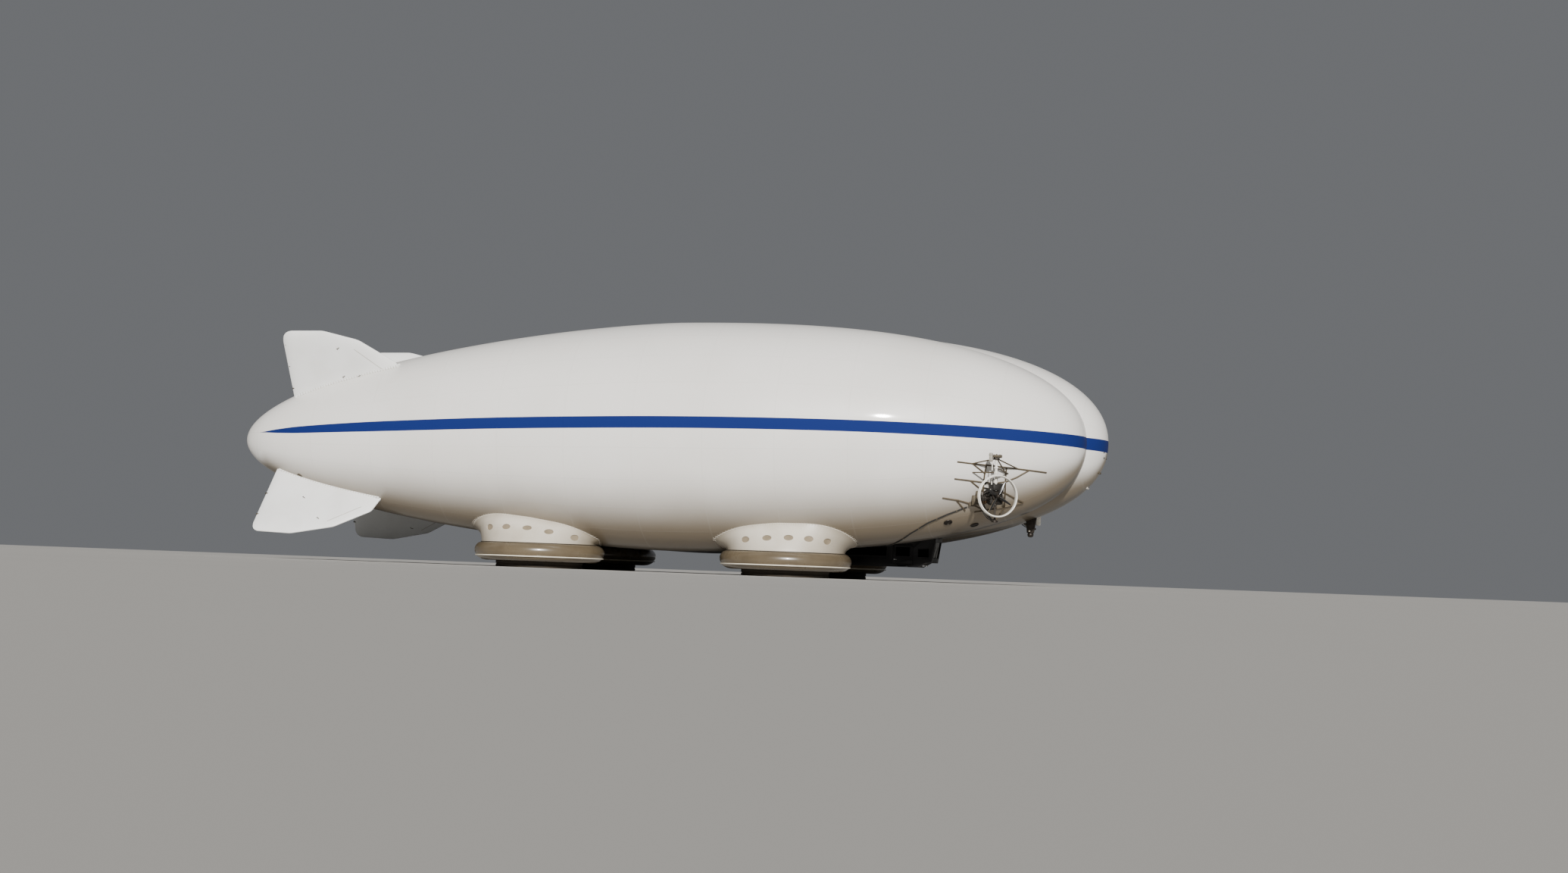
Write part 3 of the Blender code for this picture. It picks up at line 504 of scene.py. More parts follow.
def fin_skins(word, kind, side):
    """Both skins as one closed shape, swelling in rings from the rim to a spine along the fin's middle."""
    angle, outline = fin_outlines[kind]
    flat = bmesh.new()
    corners = [flat.verts.new((x, reach, 0.0)) for x, reach in outline]
    flat.faces.new(corners)
    bmesh.ops.bevel(flat, geom=corners[1:7], offset=0.16, offset_type="OFFSET", segments=4, profile=0.5,
                    affect="VERTICES", clamp_overlap=True, material=-1)
    bmesh.ops.subdivide_edges(flat, edges=[edge for edge in flat.edges if edge.calc_length() > 0.7], cuts=5)
    rim = [vert.co.xy for vert in flat.faces[:][0].verts]
    flat.free()
    spine = [nearest_on(point, fin_spines[kind]) for point in rim]
    shape = bmesh.new()
    rings = []
    for face in (-1, 1):
        shares = (0.0, 0.015, 0.04, 0.08, 0.14, 0.22, 0.34, 0.5, 0.7, 1.0)
        for share in shares if face > 0 else shares[::-1]:
            ring = []
            for point, middle in zip(rim, spine):
                spot = point.lerp(middle, share)
                swell = fin_swell((spot - point).length)
                ring.append(shape.verts.new(fin_point(side, angle, spot.x, spot.y, face * swell)))
            rings.append(ring)
    for inner, outer in zip(rings, rings[1:]):
        for k in range(len(rim)):
            after = (k + 1) % len(rim)
            shape.faces.new((inner[k], inner[after], outer[after], outer[k]))
    bmesh.ops.remove_doubles(shape, verts=shape.verts, dist=1e-4)
    for loose in [edge for edge in shape.edges if not edge.link_faces]:
        shape.edges.remove(loose)
    gaps = [edge for edge in shape.edges if len(edge.link_faces) == 1]
    bmesh.ops.holes_fill(shape, edges=gaps, sides=0)
    skins = made(f"fin_{kind}_{word}_skins", shape, fin_fabric, crease=50)
    stands_for(skins, f"fin_{kind}_{word}")


def fin_fittings(word, kind, side):
    """Clips, cable eyes, the cuff with its lacing, and a seam tape on each skin."""
    angle = fin_outlines[kind][0]
    _, out, across = fin_frame(side, angle)
    shape = bmesh.new()
    for x, reach in fin_clips[kind]:
        clip = bmesh.new()
        block(clip, (-0.05, -0.022, -0.055), (0.2, 0.022, 0.055), 0.008)
        seat = placement(fin_point(side, angle, x, reach), Vector((1, 0, 0)), out, across)
        bmesh.ops.transform(clip, matrix=seat, verts=clip.verts)
        mesh = mesh_of("clip", clip)
        shape.from_mesh(mesh)
        bpy.data.meshes.remove(mesh)
    made(f"fin_{kind}_{word}_clips", shape, dark_fitting)
    eyes = []
    for x, reach in fin_eyes[kind]:
        for face in (-1, 1):
            eyes.append((0.014, [on_fin(side, kind, x, reach, face),
                                 on_fin(side, kind, x + 0.05, reach + 0.02, face, 0.05),
                                 on_fin(side, kind, x + 0.12, reach + 0.06, face)]))
    rods(f"fin_{kind}_{word}_eyes", eyes, dark_fitting)
    low, high = fin_cuffs[kind]
    stations = [low + (high - low) * k / 40 for k in range(41)]
    cuffs = []
    for off in (-0.1, 0.1):
        cuff = [fin_point(side, angle, x, fin_root(side, angle, x) + 0.02, off) for x in stations]
        cuffs.append((0.035, cuff))
    rods(f"fin_{kind}_{word}_cuff", cuffs, fin_fabric, curved=True)
    ties = []
    for x in stations[1:-1]:
        reach = fin_root(side, angle, x)
        for off in (-0.13, 0.13):
            ties.append((0.008, [fin_point(side, angle, x, reach + 0.09, off * 0.85),
                                 fin_point(side, angle, x + 0.03, reach + 0.02, off * 1.2),
                                 fin_point(side, angle, x + 0.06, reach, off * 1.6)]))
    rods(f"fin_{kind}_{word}_lacing", ties, lacing, rings=1)
    start, end = fin_seams[kind]
    line = [Vector(start).lerp(Vector(end), k / 8) for k in range(9)]
    tapes = []
    for face in (-1, 1):
        tapes.append((0.014, [on_fin(side, kind, x, reach, face, 0.002) for x, reach in line]))
    rods(f"fin_{kind}_{word}_seams", tapes, seam_tape, rings=1)


for word, side in sides.items():
    for kind in fin_outlines:
        fin_skins(word, kind, side)
        fin_fittings(word, kind, side)


# Four air-cushion pads. Each is a dark flat-bottomed rubber tray, a fat inflated ring with a welded seam and
# a light piping round it, and a fabric skirt up to the hull, laced on, with a row of oval air vents outboard.
pads = {"front": (5.7, 1.88, 0.14), "rear": (-4.76, 1.66, 0.03)}
pad_y = 4.3
skirt_foot = 2.42
skirt_flare, skirt_slope = 1.17, 1.2
skirt_steps, skirt_rows = 128, 14
skirt_angles = [math.tau * k / skirt_steps for k in range(skirt_steps)]
ring_top = 1.0
ring_profile = (
    (1.2, 0.2603), (2.2, 0.2603), (2.36, 0.285), (2.5, 0.345), (2.575, 0.40), (2.6, 0.43),
    (2.635, 0.435), (2.655, 0.455), (2.64, 0.478), (2.625, 0.49), (2.665, 0.54), (2.692, 0.61), (2.7, 0.68),
    (2.69, 0.76), (2.66, 0.83), (2.6, 0.91), (2.54, 0.96), (2.46, 0.992), (2.3, 1.0), (1.2, 1.0),
)
tray_profile = (
    (0.0, 0.012), (1.5, 0.012), (1.52, 0.0), (1.74, 0.0), (1.785, 0.012), (1.8, 0.04), (1.8, 0.1),
    (1.775, 0.115), (1.775, 0.14), (1.8, 0.155), (1.8, 0.25), (1.79, 0.26), (0.0, 0.26),
)
vent_half = (0.195, 0.125)
vents_of = {
    "front": ((-33, 1.45), (-9, 1.54), (14, 1.58), (35, 1.56), (55, 1.48)),
    "rear": ((-47, 1.6), (-25, 1.64), (1, 1.62), (26, 1.49), (53, 1.28)),
}
skirt_fabric = finish("skirt fabric", paint(212, 206, 193), paint(184, 175, 158), 0.5, 0.9, 0.4,
                      bump=0.06, coat=0.1)
ring_fabric = finish("pad ring rubber", paint(94, 84, 68), paint(75, 65, 50), 0.5, 1.2, 0.3,
                     bump=0.05, coat=0.3)
piping = finish("pad ring piping", paint(214, 207, 190), paint(178, 168, 150), 0.4, 2.0, 0.35, coat=0.3)
tray_rubber = finish("pad tray rubber", paint(44, 38, 28), paint(62, 54, 42), 0.5, 3.0, 0.7, bump=0.3)
vent_mesh = finish("vent screen", paint(132, 120, 101), paint(104, 94, 76), 0.5, 3.0, 0.8)
for fabric, low, high, amount in ((skirt_fabric, 0.9, 2.2, 0.3), (ring_fabric, 0.2, 0.9, 0.35)):
    dusty = {"Dust": paint(120, 106, 84), "Low": low, "High": high, "Amount": amount}
    coloured_through(fabric, dusting, dusty)
# Painted shade on each skirt: it darkens towards its fore and aft ends, and up near the hull
tree = skirt_fabric.node_tree
round_pad = node(tree, "SeparateXYZ", {0: node(tree, "UVMap", uv_map="shade_and_soil").outputs[0]}).outputs
for way, start, end, amount in (("X", 8.0, 100.0, 0.66), ("Y", 62.0, 104.0, 0.42)):
    skirt_shade = {"Angle": maths(tree, "MULTIPLY", round_pad[way], 90.0), "Darkening": paint(104, 90, 68)}
    coloured_through(skirt_fabric, painted_shade_and_soil, {"Start": start, "End": end, "Amount": amount, **skirt_shade})


def turned(shape, profile, steps, centre=(0, 0, 0), along_x=False, closed=False):
    """A profile of (radius, height) points spun about the Z axis, or about X; gives its vertices."""
    points = [shape.verts.new((radius, 0.0, height)) for radius, height in profile]
    edges = [shape.edges.new(pair) for pair in zip(points, points[1:])]
    if closed:
        edges.append(shape.edges.new((points[-1], points[0])))
    before = set(shape.verts) - set(points)
    bmesh.ops.spin(shape, geom=points + edges, cent=(0, 0, 0), axis=(0, 0, 1), angle=math.tau, steps=steps,
                   use_merge=True)
    new = [vert for vert in shape.verts if vert not in before]
    if along_x:
        bmesh.ops.rotate(shape, cent=(0, 0, 0), matrix=Matrix.Rotation(math.pi / 2, 3, "Y"), verts=new)
    bmesh.ops.translate(shape, vec=centre, verts=new)
    bmesh.ops.remove_doubles(shape, verts=new, dist=1e-5)
    return [vert for vert in new if vert.is_valid]


def under_hull(x, y, side):
    """The height of an outer lobe's underside over a point of the floor."""
    middle = lobe_middle(x, side)
    return middle.z - math.sqrt(max(lobe_reach(x, side) ** 2 - (y - middle.y) ** 2, 0.0))


def skirt_top(pad, side, angle):
    """How far the skirt's top is from the pad's axis, and how high it meets the hull there."""
    x, width, lean = pads[pad]
    along = math.sin(angle)
    reach = width + skirt_flare * abs(along) ** 2.5 - lean * along
    for _ in range(12):
        height = under_hull(x + reach * along, side * (pad_y + reach * math.cos(angle)), side)
        reach = min(reach, skirt_foot + 0.05 + skirt_slope * max(height - ring_top, 0.0))
    return reach, max(height, ring_top + 0.03)


def skirt_point(pad, side, angle, share, inset=0.0):
    """A point of the skirt, share 0 at its round foot and 1 at the hull, its angle from outboard to nose."""
    reach, height = skirt_top(pad, side, angle)
    swing = share ** (2.0 if reach > skirt_foot else 1.2)
    away = skirt_foot + (reach - skirt_foot) * swing - inset
    x, y = pads[pad][0] + away * math.sin(angle), side * (pad_y + away * math.cos(angle))
    return Vector((x, y, ring_top + (height - ring_top) * share))


def skirt_cloth(pad, side):
    """The skirt's cloth, an outer and an inner face in hoops from its foot to just inside the hull."""
    shape = bmesh.new()
    hoops, shares = [], {}
    for inset in (0.0, 0.03):
        for row in range(skirt_rows + 1) if inset == 0.0 else range(skirt_rows, -1, -1):
            hoop = bmesh.ops.create_circle(shape, segments=skirt_steps, radius=1.0)["verts"]
            for vert, angle in zip(hoop, skirt_angles):
                vert.co = skirt_point(pad, side, angle, row / skirt_rows * 1.012, inset)
                shares[vert] = row / skirt_rows
            hoops.append(list({edge for vert in hoop for edge in vert.link_edges}))
    for hoop, after in zip(hoops, hoops[1:] + hoops[:1]):
        bmesh.ops.bridge_loops(shape, edges=hoop + after)
    # This map gives each point's angle from outboard and its share of height, for the skirt's painted shade
    layer = shape.loops.layers.uv.new("shade_and_soil")
    for face in shape.faces:
        for loop in face.loops:
            along, away = loop.vert.co.x - pads[pad][0], side * loop.vert.co.y - pad_y
            loop[layer].uv = (abs(math.degrees(math.atan2(along, away))) / 90.0, shares[loop.vert])
    return shape


def skirt_vents(pad, side):
    """The cutters of a skirt's vents, and the screens that close them."""
    vents, screens = bmesh.new(), bmesh.new()
    for angle, height in vents_of[pad]:
        angle = math.radians(angle)
        share = (height - ring_top) / (skirt_top(pad, side, angle)[1] - ring_top)
        up = skirt_point(pad, side, angle, share + 0.05) - skirt_point(pad, side, angle, share - 0.05)
        up = up.normalized()
        beside = skirt_point(pad, side, angle + 0.05, share) - skirt_point(pad, side, angle - 0.05, share)
        beside = (beside - up * beside.dot(up)).normalized()
        through = beside.cross(up)
        here = skirt_point(pad, side, angle, share)
        seat = placement(here, beside * vent_half[0], up * vent_half[1], through)
        inward = side if through.y > 0 else -side
        for target, near, far, grow in ((vents, -0.15, 0.15, 1.0), (screens, 0.04, 0.06, 1.08)):
            ends = bmesh.ops.create_cone(target, cap_ends=True, segments=28, radius1=grow, radius2=grow,
                                         depth=far - near)["verts"]
            bmesh.ops.translate(target, vec=(0, 0, -inward * (near + far) / 2), verts=ends)
            bmesh.ops.transform(target, matrix=seat, verts=ends)
    return vents, screens


def skirt(word, pad, side):
    """One skirt with its vents cut through, their screens, the hem and the lacing."""
    piece = made(f"pad_skirt_{pad}_{word}", skirt_cloth(pad, side), skirt_fabric, crease=60)
    vents, screens = skirt_vents(pad, side)
    carved(piece, vents)
    stands_for(piece, f"pad_fairing_{pad}_{word}")
    made(f"pad_vent_screens_{pad}_{word}", screens, vent_mesh)
    hem = [skirt_point(pad, side, angle, 0.985) for angle in skirt_angles + skirt_angles[:1]]
    rods(f"pad_skirt_hem_{pad}_{word}", [(0.014, hem)], skirt_fabric, rings=2)
    ties = []
    for angle in skirt_angles:
        below, here = skirt_point(pad, side, angle, 0.93), skirt_point(pad, side, angle, 0.99)
        outward = Vector((math.sin(angle), side * math.cos(angle), 0.0))
        above = here + outward * 0.08
        middle = lobe_middle(above.x, side)
        flat = Vector((0.0, above.y - middle.y, above.z - middle.z))
        above = middle + flat.normalized() * (lobe_reach(above.x, side) + 0.004)
        above = here + (above - here) * min(1.0, 0.075 / max((above - here).length, 0.01))
        ties.append((0.007, [below + outward * 0.006, here + outward * 0.022, above]))
    rods(f"pad_skirt_lacing_{pad}_{word}", ties, lacing, rings=1)


ring_steps = 112
bead_turns = [math.tau * k / 8 for k in range(8)]
ring_beads = (("piping", 2.648, 0.456, 0.026, piping), ("top_seam", 2.432, ring_top, 0.022, tray_rubber))
for word, side in sides.items():
    for place_word, (x, _, _) in pads.items():
        centre = (x, side * pad_y, 0.0)
        tray = bmesh.new()
        turned(tray, tray_profile, 96, centre)
        tray = made(f"pad_tray_{place_word}_{word}", tray, tray_rubber, crease=35)
        stands_for(tray, f"pad_base_{place_word}_{word}")
        ring = bmesh.new()
        turned(ring, ring_profile, ring_steps, centre, closed=True)
        ring = made(f"pad_ring_tube_{place_word}_{word}", ring, ring_fabric, crease=50)
        stands_for(ring, f"pad_ring_{place_word}_{word}")
        for label, radius, height, thick, material in ring_beads:
            profile = [(radius + thick * math.cos(turn), height + thick * math.sin(turn))
                       for turn in bead_turns]
            bead = bmesh.new()
            turned(bead, profile, ring_steps, centre, closed=True)
            made(f"pad_{label}_{place_word}_{word}", bead, material)
        skirt(word, place_word, side)


# The gondola: a black bonded shell half sunk into the belly, with two hinged doors, dark tinted panes, two
# leather seats, a metal deck and an instrument panel. Its edges are rounded.
black_paint = finish("gondola black paint", paint(13, 13, 16), paint(24, 23, 24), 0.3, 1.5, 0.5, bump=0.03)
feed(shader_of(black_paint), {"Specular IOR Level": 0.25})
rubber = finish("window rubber", paint(16, 16, 17), paint(30, 30, 30), 0.3, 5.0, 0.7)
deck = finish("cabin deck", paint(96, 97, 100), paint(62, 60, 58), 0.5, 4.0, 0.6, 0.4, bump=0.4)
leather = finish("seat leather", paint(92, 70, 52), paint(58, 44, 34), 0.5, 9.0, 0.55, bump=0.5)
plastic = finish("panel plastic", paint(34, 35, 38), paint(54, 54, 56), 0.3, 8.0, 0.55, bump=0.3)
black_hose = finish("rubber hose", paint(24, 24, 25), paint(44, 42, 40), 0.4, 10.0, 0.7)
bright_metal = finish("bright metal", paint(176, 178, 180), paint(120, 118, 114), 0.4, 9.0, 0.3, 0.9)


def softened(node_name, material, width, body="airship", segments=2):
    """Puts a finer copy in a CAD node's place: its flats joined again and its edges rounded."""
    shape = bmesh.new()
    shape.from_mesh(nodes[node_name].data)
    bmesh.ops.remove_doubles(shape, verts=shape.verts, dist=1e-5)
    bmesh.ops.dissolve_limit(shape, angle_limit=math.radians(0.5), verts=shape.verts, edges=shape.edges)
    sharp = [edge for edge in shape.edges if len(edge.link_faces) == 2 and edge.calc_face_angle(0.0) > 0.4]
    bmesh.ops.bevel(shape, geom=sharp, offset=width, offset_type="OFFSET", segments=segments, profile=0.5,
                    affect="EDGES", clamp_overlap=True, material=-1)
    stands_for(made(f"{node_name}_finished", shape, material, body), node_name)


softened("gondola_shell", black_paint, 0.012)
softened("gondola_floor", deck, 0.004)
softened("gondola_panel", plastic, 0.012)
tinted = bpy.data.materials.new("tinted glass")
tinted.use_nodes = True
feed(shader_of(tinted), {
    "Base Color": paint(4, 5, 7), "Roughness": 0.08, "Transmission Weight": 0.2, "IOR": 1.06,
    "Specular IOR Level": 0.2,
})
for name in nodes:
    if "glass" in name or name == "gondola_windscreen":
        nodes[name].data.materials.clear()
        nodes[name].data.materials.append(tinted)
for word, side in sides.items():
    softened(f"gondola_door_{word}", black_paint, 0.006, f"gondola_door_{word}")
    softened(f"gondola_seat_{word}", leather, 0.05, segments=4)


# What is fixed to the gondola: rubber strips round the panes, dome rivets along the edges, door handles,
# steps under the doors, wipers, two landing lights in the chin, and gauges and sticks before the seats.
rivet_rows = (
    ((7.06, 0.76), (7.06, 1.6)), ((7.16, 0.64), (10.55, 0.64)), ((9.5, 0.7), (9.5, 1.6)),
    ((10.45, 0.7), (10.45, 1.6)), ((10.62, 0.66), (10.93, 0.84)), ((10.98, 0.84), (11.17, 0.84)),
    ((11.2, 0.95), (11.31, 1.66)), ((7.3, 1.52), (9.4, 1.6)),
)
door_rivet_rows = (
    ((9.59, 0.76), (9.59, 1.52)), ((10.34, 0.76), (10.34, 1.52)), ((9.59, 0.76), (10.34, 0.76)),
)
lamp_profile = ((0.0, -0.02), (0.07, -0.02), (0.075, 0.03), (0.066, 0.034), (0.06, 0.02), (0.0, 0.012))
rear_window = ((7.5, 1.02), (9.3, 1.02), (9.3, 1.42), (7.5, 1.35))
front_window = ((10.62, 1.02), (11.08, 1.02), (11.08, 1.39), (10.62, 1.35))
door_window = ((9.67, 1.04), (10.28, 1.04), (10.28, 1.43), (9.67, 1.43))


def hoop_of(corners, y):
    """A closed run of points round an (x, z) outline at one y."""
    return [(x, y, z) for x, z in corners + corners[:1]]


def dome_rivets(shape, start, end, spacing, out, radius=0.009):
    """A row of low domes from start to end, standing out from the panel."""
    start, end, out = Vector(start), Vector(end), Vector(out)
    count = max(1, round((end - start).length / spacing))
    turn = Vector((0, 0, 1)).rotation_difference(out).to_matrix().to_4x4()
    for k in range(count + 1):
        seat = Matrix.Translation(start.lerp(end, k / count)) @ turn
        bmesh.ops.create_cone(shape, cap_ends=True, segments=8, radius1=radius, radius2=radius * 0.5,
                              depth=0.006, matrix=seat)


rivets = bmesh.new()
strips = []
for side in (-1, 1):
    y, out = side * (gondola_half + 0.001), (0, side, 0)
    for (x, z), (end_x, end_z) in rivet_rows:
        dome_rivets(rivets, (x, y, z), (end_x, y, end_z), 0.075, out)
    for window in (rear_window, front_window):
        strips.append((0.013, hoop_of(window, side * (gondola_half + 0.002))))
made("gondola_rivets", rivets, black_paint)
screen_corners = ((-0.76, 1.0), (0.76, 1.0), (0.76, 1.68), (-0.76, 1.68), (-0.76, 1.0))
strips.append((0.014, [(11.23 + (z - 1.0) * 0.155, y, z) for y, z in screen_corners]))
rods("gondola_window_rubbers", strips, rubber)
wipers = []
for y in (-0.34, 0.34):
    wipers.append((0.009, [(11.235, y, 0.97), (11.27, y + 0.05, 1.1), (11.3, y + 0.2, 1.3)]))
    wipers.append((0.006, [(11.275, y + 0.08, 1.12), (11.33, y + 0.3, 1.46)]))
rods("gondola_wipers", wipers, rubber)
lights = bmesh.new()
for y in (-0.42, 0.42):
    turned(lights, lamp_profile, 24, (10.78, y, 0.66))
made("gondola_landing_lights", lights, bright_metal)
for word, side in sides.items():
    body = f"gondola_door_{word}"
    y = side * gondola_half
    rods(f"{body}_rubber", [(0.012, hoop_of(door_window, y + side * 0.002))], rubber, body)
    handle = [(0.009, [(9.62, y, 0.9), (9.62, y + side * 0.035, 0.9), (9.74, y + side * 0.035, 0.9)]),
              (0.02, [(9.62, y - side * 0.002, 0.9), (9.62, y + side * 0.006, 0.9)])]
    rods(f"{body}_handle", handle, bright_metal, body)
    edge = bmesh.new()
    for (x, z), (end_x, end_z) in door_rivet_rows:
        dome_rivets(edge, (x, y, z), (end_x, y, end_z), 0.08, (0, side, 0), 0.007)
    made(f"{body}_rivets", edge, black_paint, body)
    step = bmesh.new()
    near, far = sorted((side * (gondola_half - 0.01), side * (gondola_half + 0.16)))
    block(step, (9.72, near, 0.6), (10.22, far, 0.62), 0.006)
    for k in range(9):
        x = 9.76 + 0.0525 * k
        block(step, (x - 0.006, near + 0.01, 0.617), (x + 0.006, far - 0.01, 0.626))
    for x in (9.76, 10.18):
        block(step, (x - 0.012, near, 0.6), (x + 0.012, (near + far) / 2, 0.66), 0.004)
    made(f"gondola_step_{word}", step, plastic)
    gauges = bmesh.new()
    for k in range(3):
        one = bmesh.ops.create_cone(gauges, cap_ends=True, segments=20, radius1=0.042, radius2=0.038,
                                    depth=0.014)["verts"]
        bmesh.ops.rotate(gauges, cent=(0, 0, 0), matrix=Matrix.Rotation(-math.pi / 2, 3, "Y"), verts=one)
        bmesh.ops.translate(gauges, vec=(10.895, side * (0.3 + 0.12 * k), 0.93), verts=one)
    made(f"gondola_gauges_{word}", gauges, bright_metal)
    stick_y = side * 0.43
    stick = [(0.012, [(10.42, stick_y, 0.7), (10.4, stick_y, 0.95), (10.34, stick_y, 1.02)]),
             (0.02, [(10.37, stick_y, 0.985), (10.33, stick_y, 1.04)])]
    rods(f"gondola_stick_{word}", stick, black_hose)


# The side and stern thrusters, each given by its hub, side, heading, size and the top of its post: a dark
# air-cooled engine on a white swivel post, crowded with pipes, filter and oil cooler, a white guard ring on
# four grey spokes, and a four-blade propeller of black laminate.
thrusters = {
    "side_thruster_right": ((14.52, -6.5, 3.49), -1, -58.0, 1.0, 1.44),
    "side_thruster_left": ((14.52, 6.5, 3.49), 1, 7.0, 1.0, 1.44),
    "stern_thruster_right": ((-17.25, -0.99, 5.1), 1, 180.0, 0.86, 1.16),
    "stern_thruster_left": ((-17.25, 0.99, 5.1), -1, 180.0, 0.86, 1.16),
}
cylinders = (-0.1, -0.26, -0.42)
engine_face = 0.0604
trunk_radius, trunk_x, trunk_y = 0.025, -0.085, 0.136
cast_metal = finish("cast engine metal", paint(52, 47, 42), paint(24, 21, 19), 0.6, 9.0, 0.5, 0.6, bump=0.5)
burnt_pipe = finish("burnt exhaust pipe", paint(104, 82, 60), paint(58, 44, 34), 0.7, 7.0, 0.5, 0.7, bump=0.3)
soot = finish("sooty casting", paint(30, 27, 23), paint(14, 12, 11), 0.6, 9.0, 0.6, 0.3, bump=0.5)
white_tube = finish("white painted tube", paint(224, 221, 212), paint(160, 150, 134), 0.35, 5.0, 0.35,
                    coat=0.2)
# On the side frames this grey-brown is painted shadow: it stands for light tubes with the shadows they cast
# on the hull.
grey_tube = finish("grey tube and painted shadow", paint(88, 78, 62), paint(62, 53, 40), 0.5, 4.0, 0.6, 0.2)
laminate = finish("propeller laminate", paint(26, 25, 25), paint(48, 45, 42), 0.3, 6.0, 0.28, coat=0.4)


def local_rods(name, runs, material, body, place_of, scale, rings=3, curved=False):
    """Rods given round a thruster's hub, its propeller ahead of them."""
    placed = [(radius * scale, [place_of @ Vector(point) for point in points]) for radius, points in runs]
    rods(name, placed, material, body, rings, curved)


def local_piece(name, shape, material, body, place_of, crease=40):
    """A piece given round a thruster's hub."""
    bmesh.ops.transform(shape, matrix=place_of, verts=shape.verts)
    return made(name, shape, material, body, crease)


def cooling_barrel(shape, x, side):
    """One finned cylinder with its head, lying outwards from the crankcase."""
    profile = [(0.0, 0.12)]
    for k in range(10):
        level = 0.15 + 0.017 * k
        profile += [(0.062, level), (0.086, level), (0.086, level + 0.007), (0.062, level + 0.007)]
    profile += [(0.062, 0.33), (0.075, 0.335), (0.075, 0.385), (0.05, 0.4), (0.05, 0.42), (0.0, 0.42)]
    new = turned(shape, profile, 18)
    bmesh.ops.rotate(shape, cent=(0, 0, 0), matrix=Matrix.Rotation(-side * math.pi / 2, 3, "X"), verts=new)
    bmesh.ops.translate(shape, vec=(x, 0, -0.1), verts=new)


def crankcase(name, place_of):
    """The crankcase with a boss at each end, its cylinders with their heads, and a shelf over each bank."""
    case = bmesh.new()
    block(case, (-0.5, -0.14, -0.3), (0.0, 0.14, 0.11), 0.03)
    block(case, (-0.42, -0.11, -0.35), (-0.1, 0.11, -0.26), 0.025)
    nose_boss = ((0.0, -0.02), (0.15, -0.02), (0.16, 0.0), (0.16, 0.045), (0.12, 0.06), (0.0, 0.06))
    tail_boss = ((0.0, -0.58), (0.08, -0.58), (0.09, -0.56), (0.09, -0.48), (0.0, -0.48))
    turned(case, nose_boss, 28, along_x=True)
    turned(case, tail_boss, 20, along_x=True)
    for bank in (-1, 1):
        for x in cylinders:
            cooling_barrel(case, x, bank)
            block(case, (x - 0.05, bank * 0.39 - 0.03, -0.2), (x + 0.05, bank * 0.39 + 0.03, -0.02), 0.015)
        block(case, (-0.49, bank * 0.27 - 0.12, 0.0), (-0.02, bank * 0.27 + 0.12, 0.03), 0.012)
        for x in (-0.45, -0.06):
            block(case, (x - 0.02, bank * 0.12 - 0.02, 0.1), (x + 0.02, bank * 0.12 + 0.02, 0.24), 0.008)
    case = local_piece(f"{name}_crankcase", case, cast_metal, name, place_of)
    stands_for(case, f"{name}_engine")


def covers(name, place_of, scale, side):
    """The air box on top with its intake elbow and filter, and the gear case below."""
    box = bmesh.new()
    near, far = sorted((side * 0.13, -side * 0.33))
    block(box, (-0.42, near, 0.2), (0.056, far, 0.5), 0.05, 3)
    block(box, (-0.3, near - 0.03, 0.16), (0.0, far + 0.03, 0.34), 0.03)
    for x in (-0.36, -0.27, -0.18, -0.09):
        block(box, (x - 0.008, near - 0.008, 0.23), (x + 0.008, far + 0.008, 0.508), 0.004)
    block(box, (-0.3, -0.1, 0.48), (-0.1, 0.1, 0.54), 0.015)
    local_piece(f"{name}_air_box", box, soot, name, place_of)
    elbow = [(-0.12, side * y, z) for y, z in ((0.4, 0.47), (0.41, 0.3), (0.33, 0.22), (0.14, 0.25))]
    local_rods(f"{name}_intake_elbow", [(0.032, elbow)], white_tube, name, place_of, scale, rings=4,
               curved=True)
    can = [(radius, [(-0.12, side * 0.4, low), (-0.12, side * 0.4, high)])
           for radius, low, high in ((0.05, 0.45, 0.56), (0.056, 0.465, 0.48), (0.056, 0.53, 0.545))]
    local_rods(f"{name}_intake_filter", can, soot, name, place_of, scale, rings=4)
    front = bmesh.new()
    near, far = sorted((side * 0.21, -side * 0.33))
    block(front, (-0.3, near, -0.33), (-0.02, far, 0.12), 0.06, 3)
    for z in (-0.27, -0.18, -0.09, 0.0):
        block(front, (-0.28, near - 0.012, z - 0.012), (-0.04, far + 0.012, z + 0.012), 0.006)
    local_piece(f"{name}_gear_case", front, soot, name, place_of)


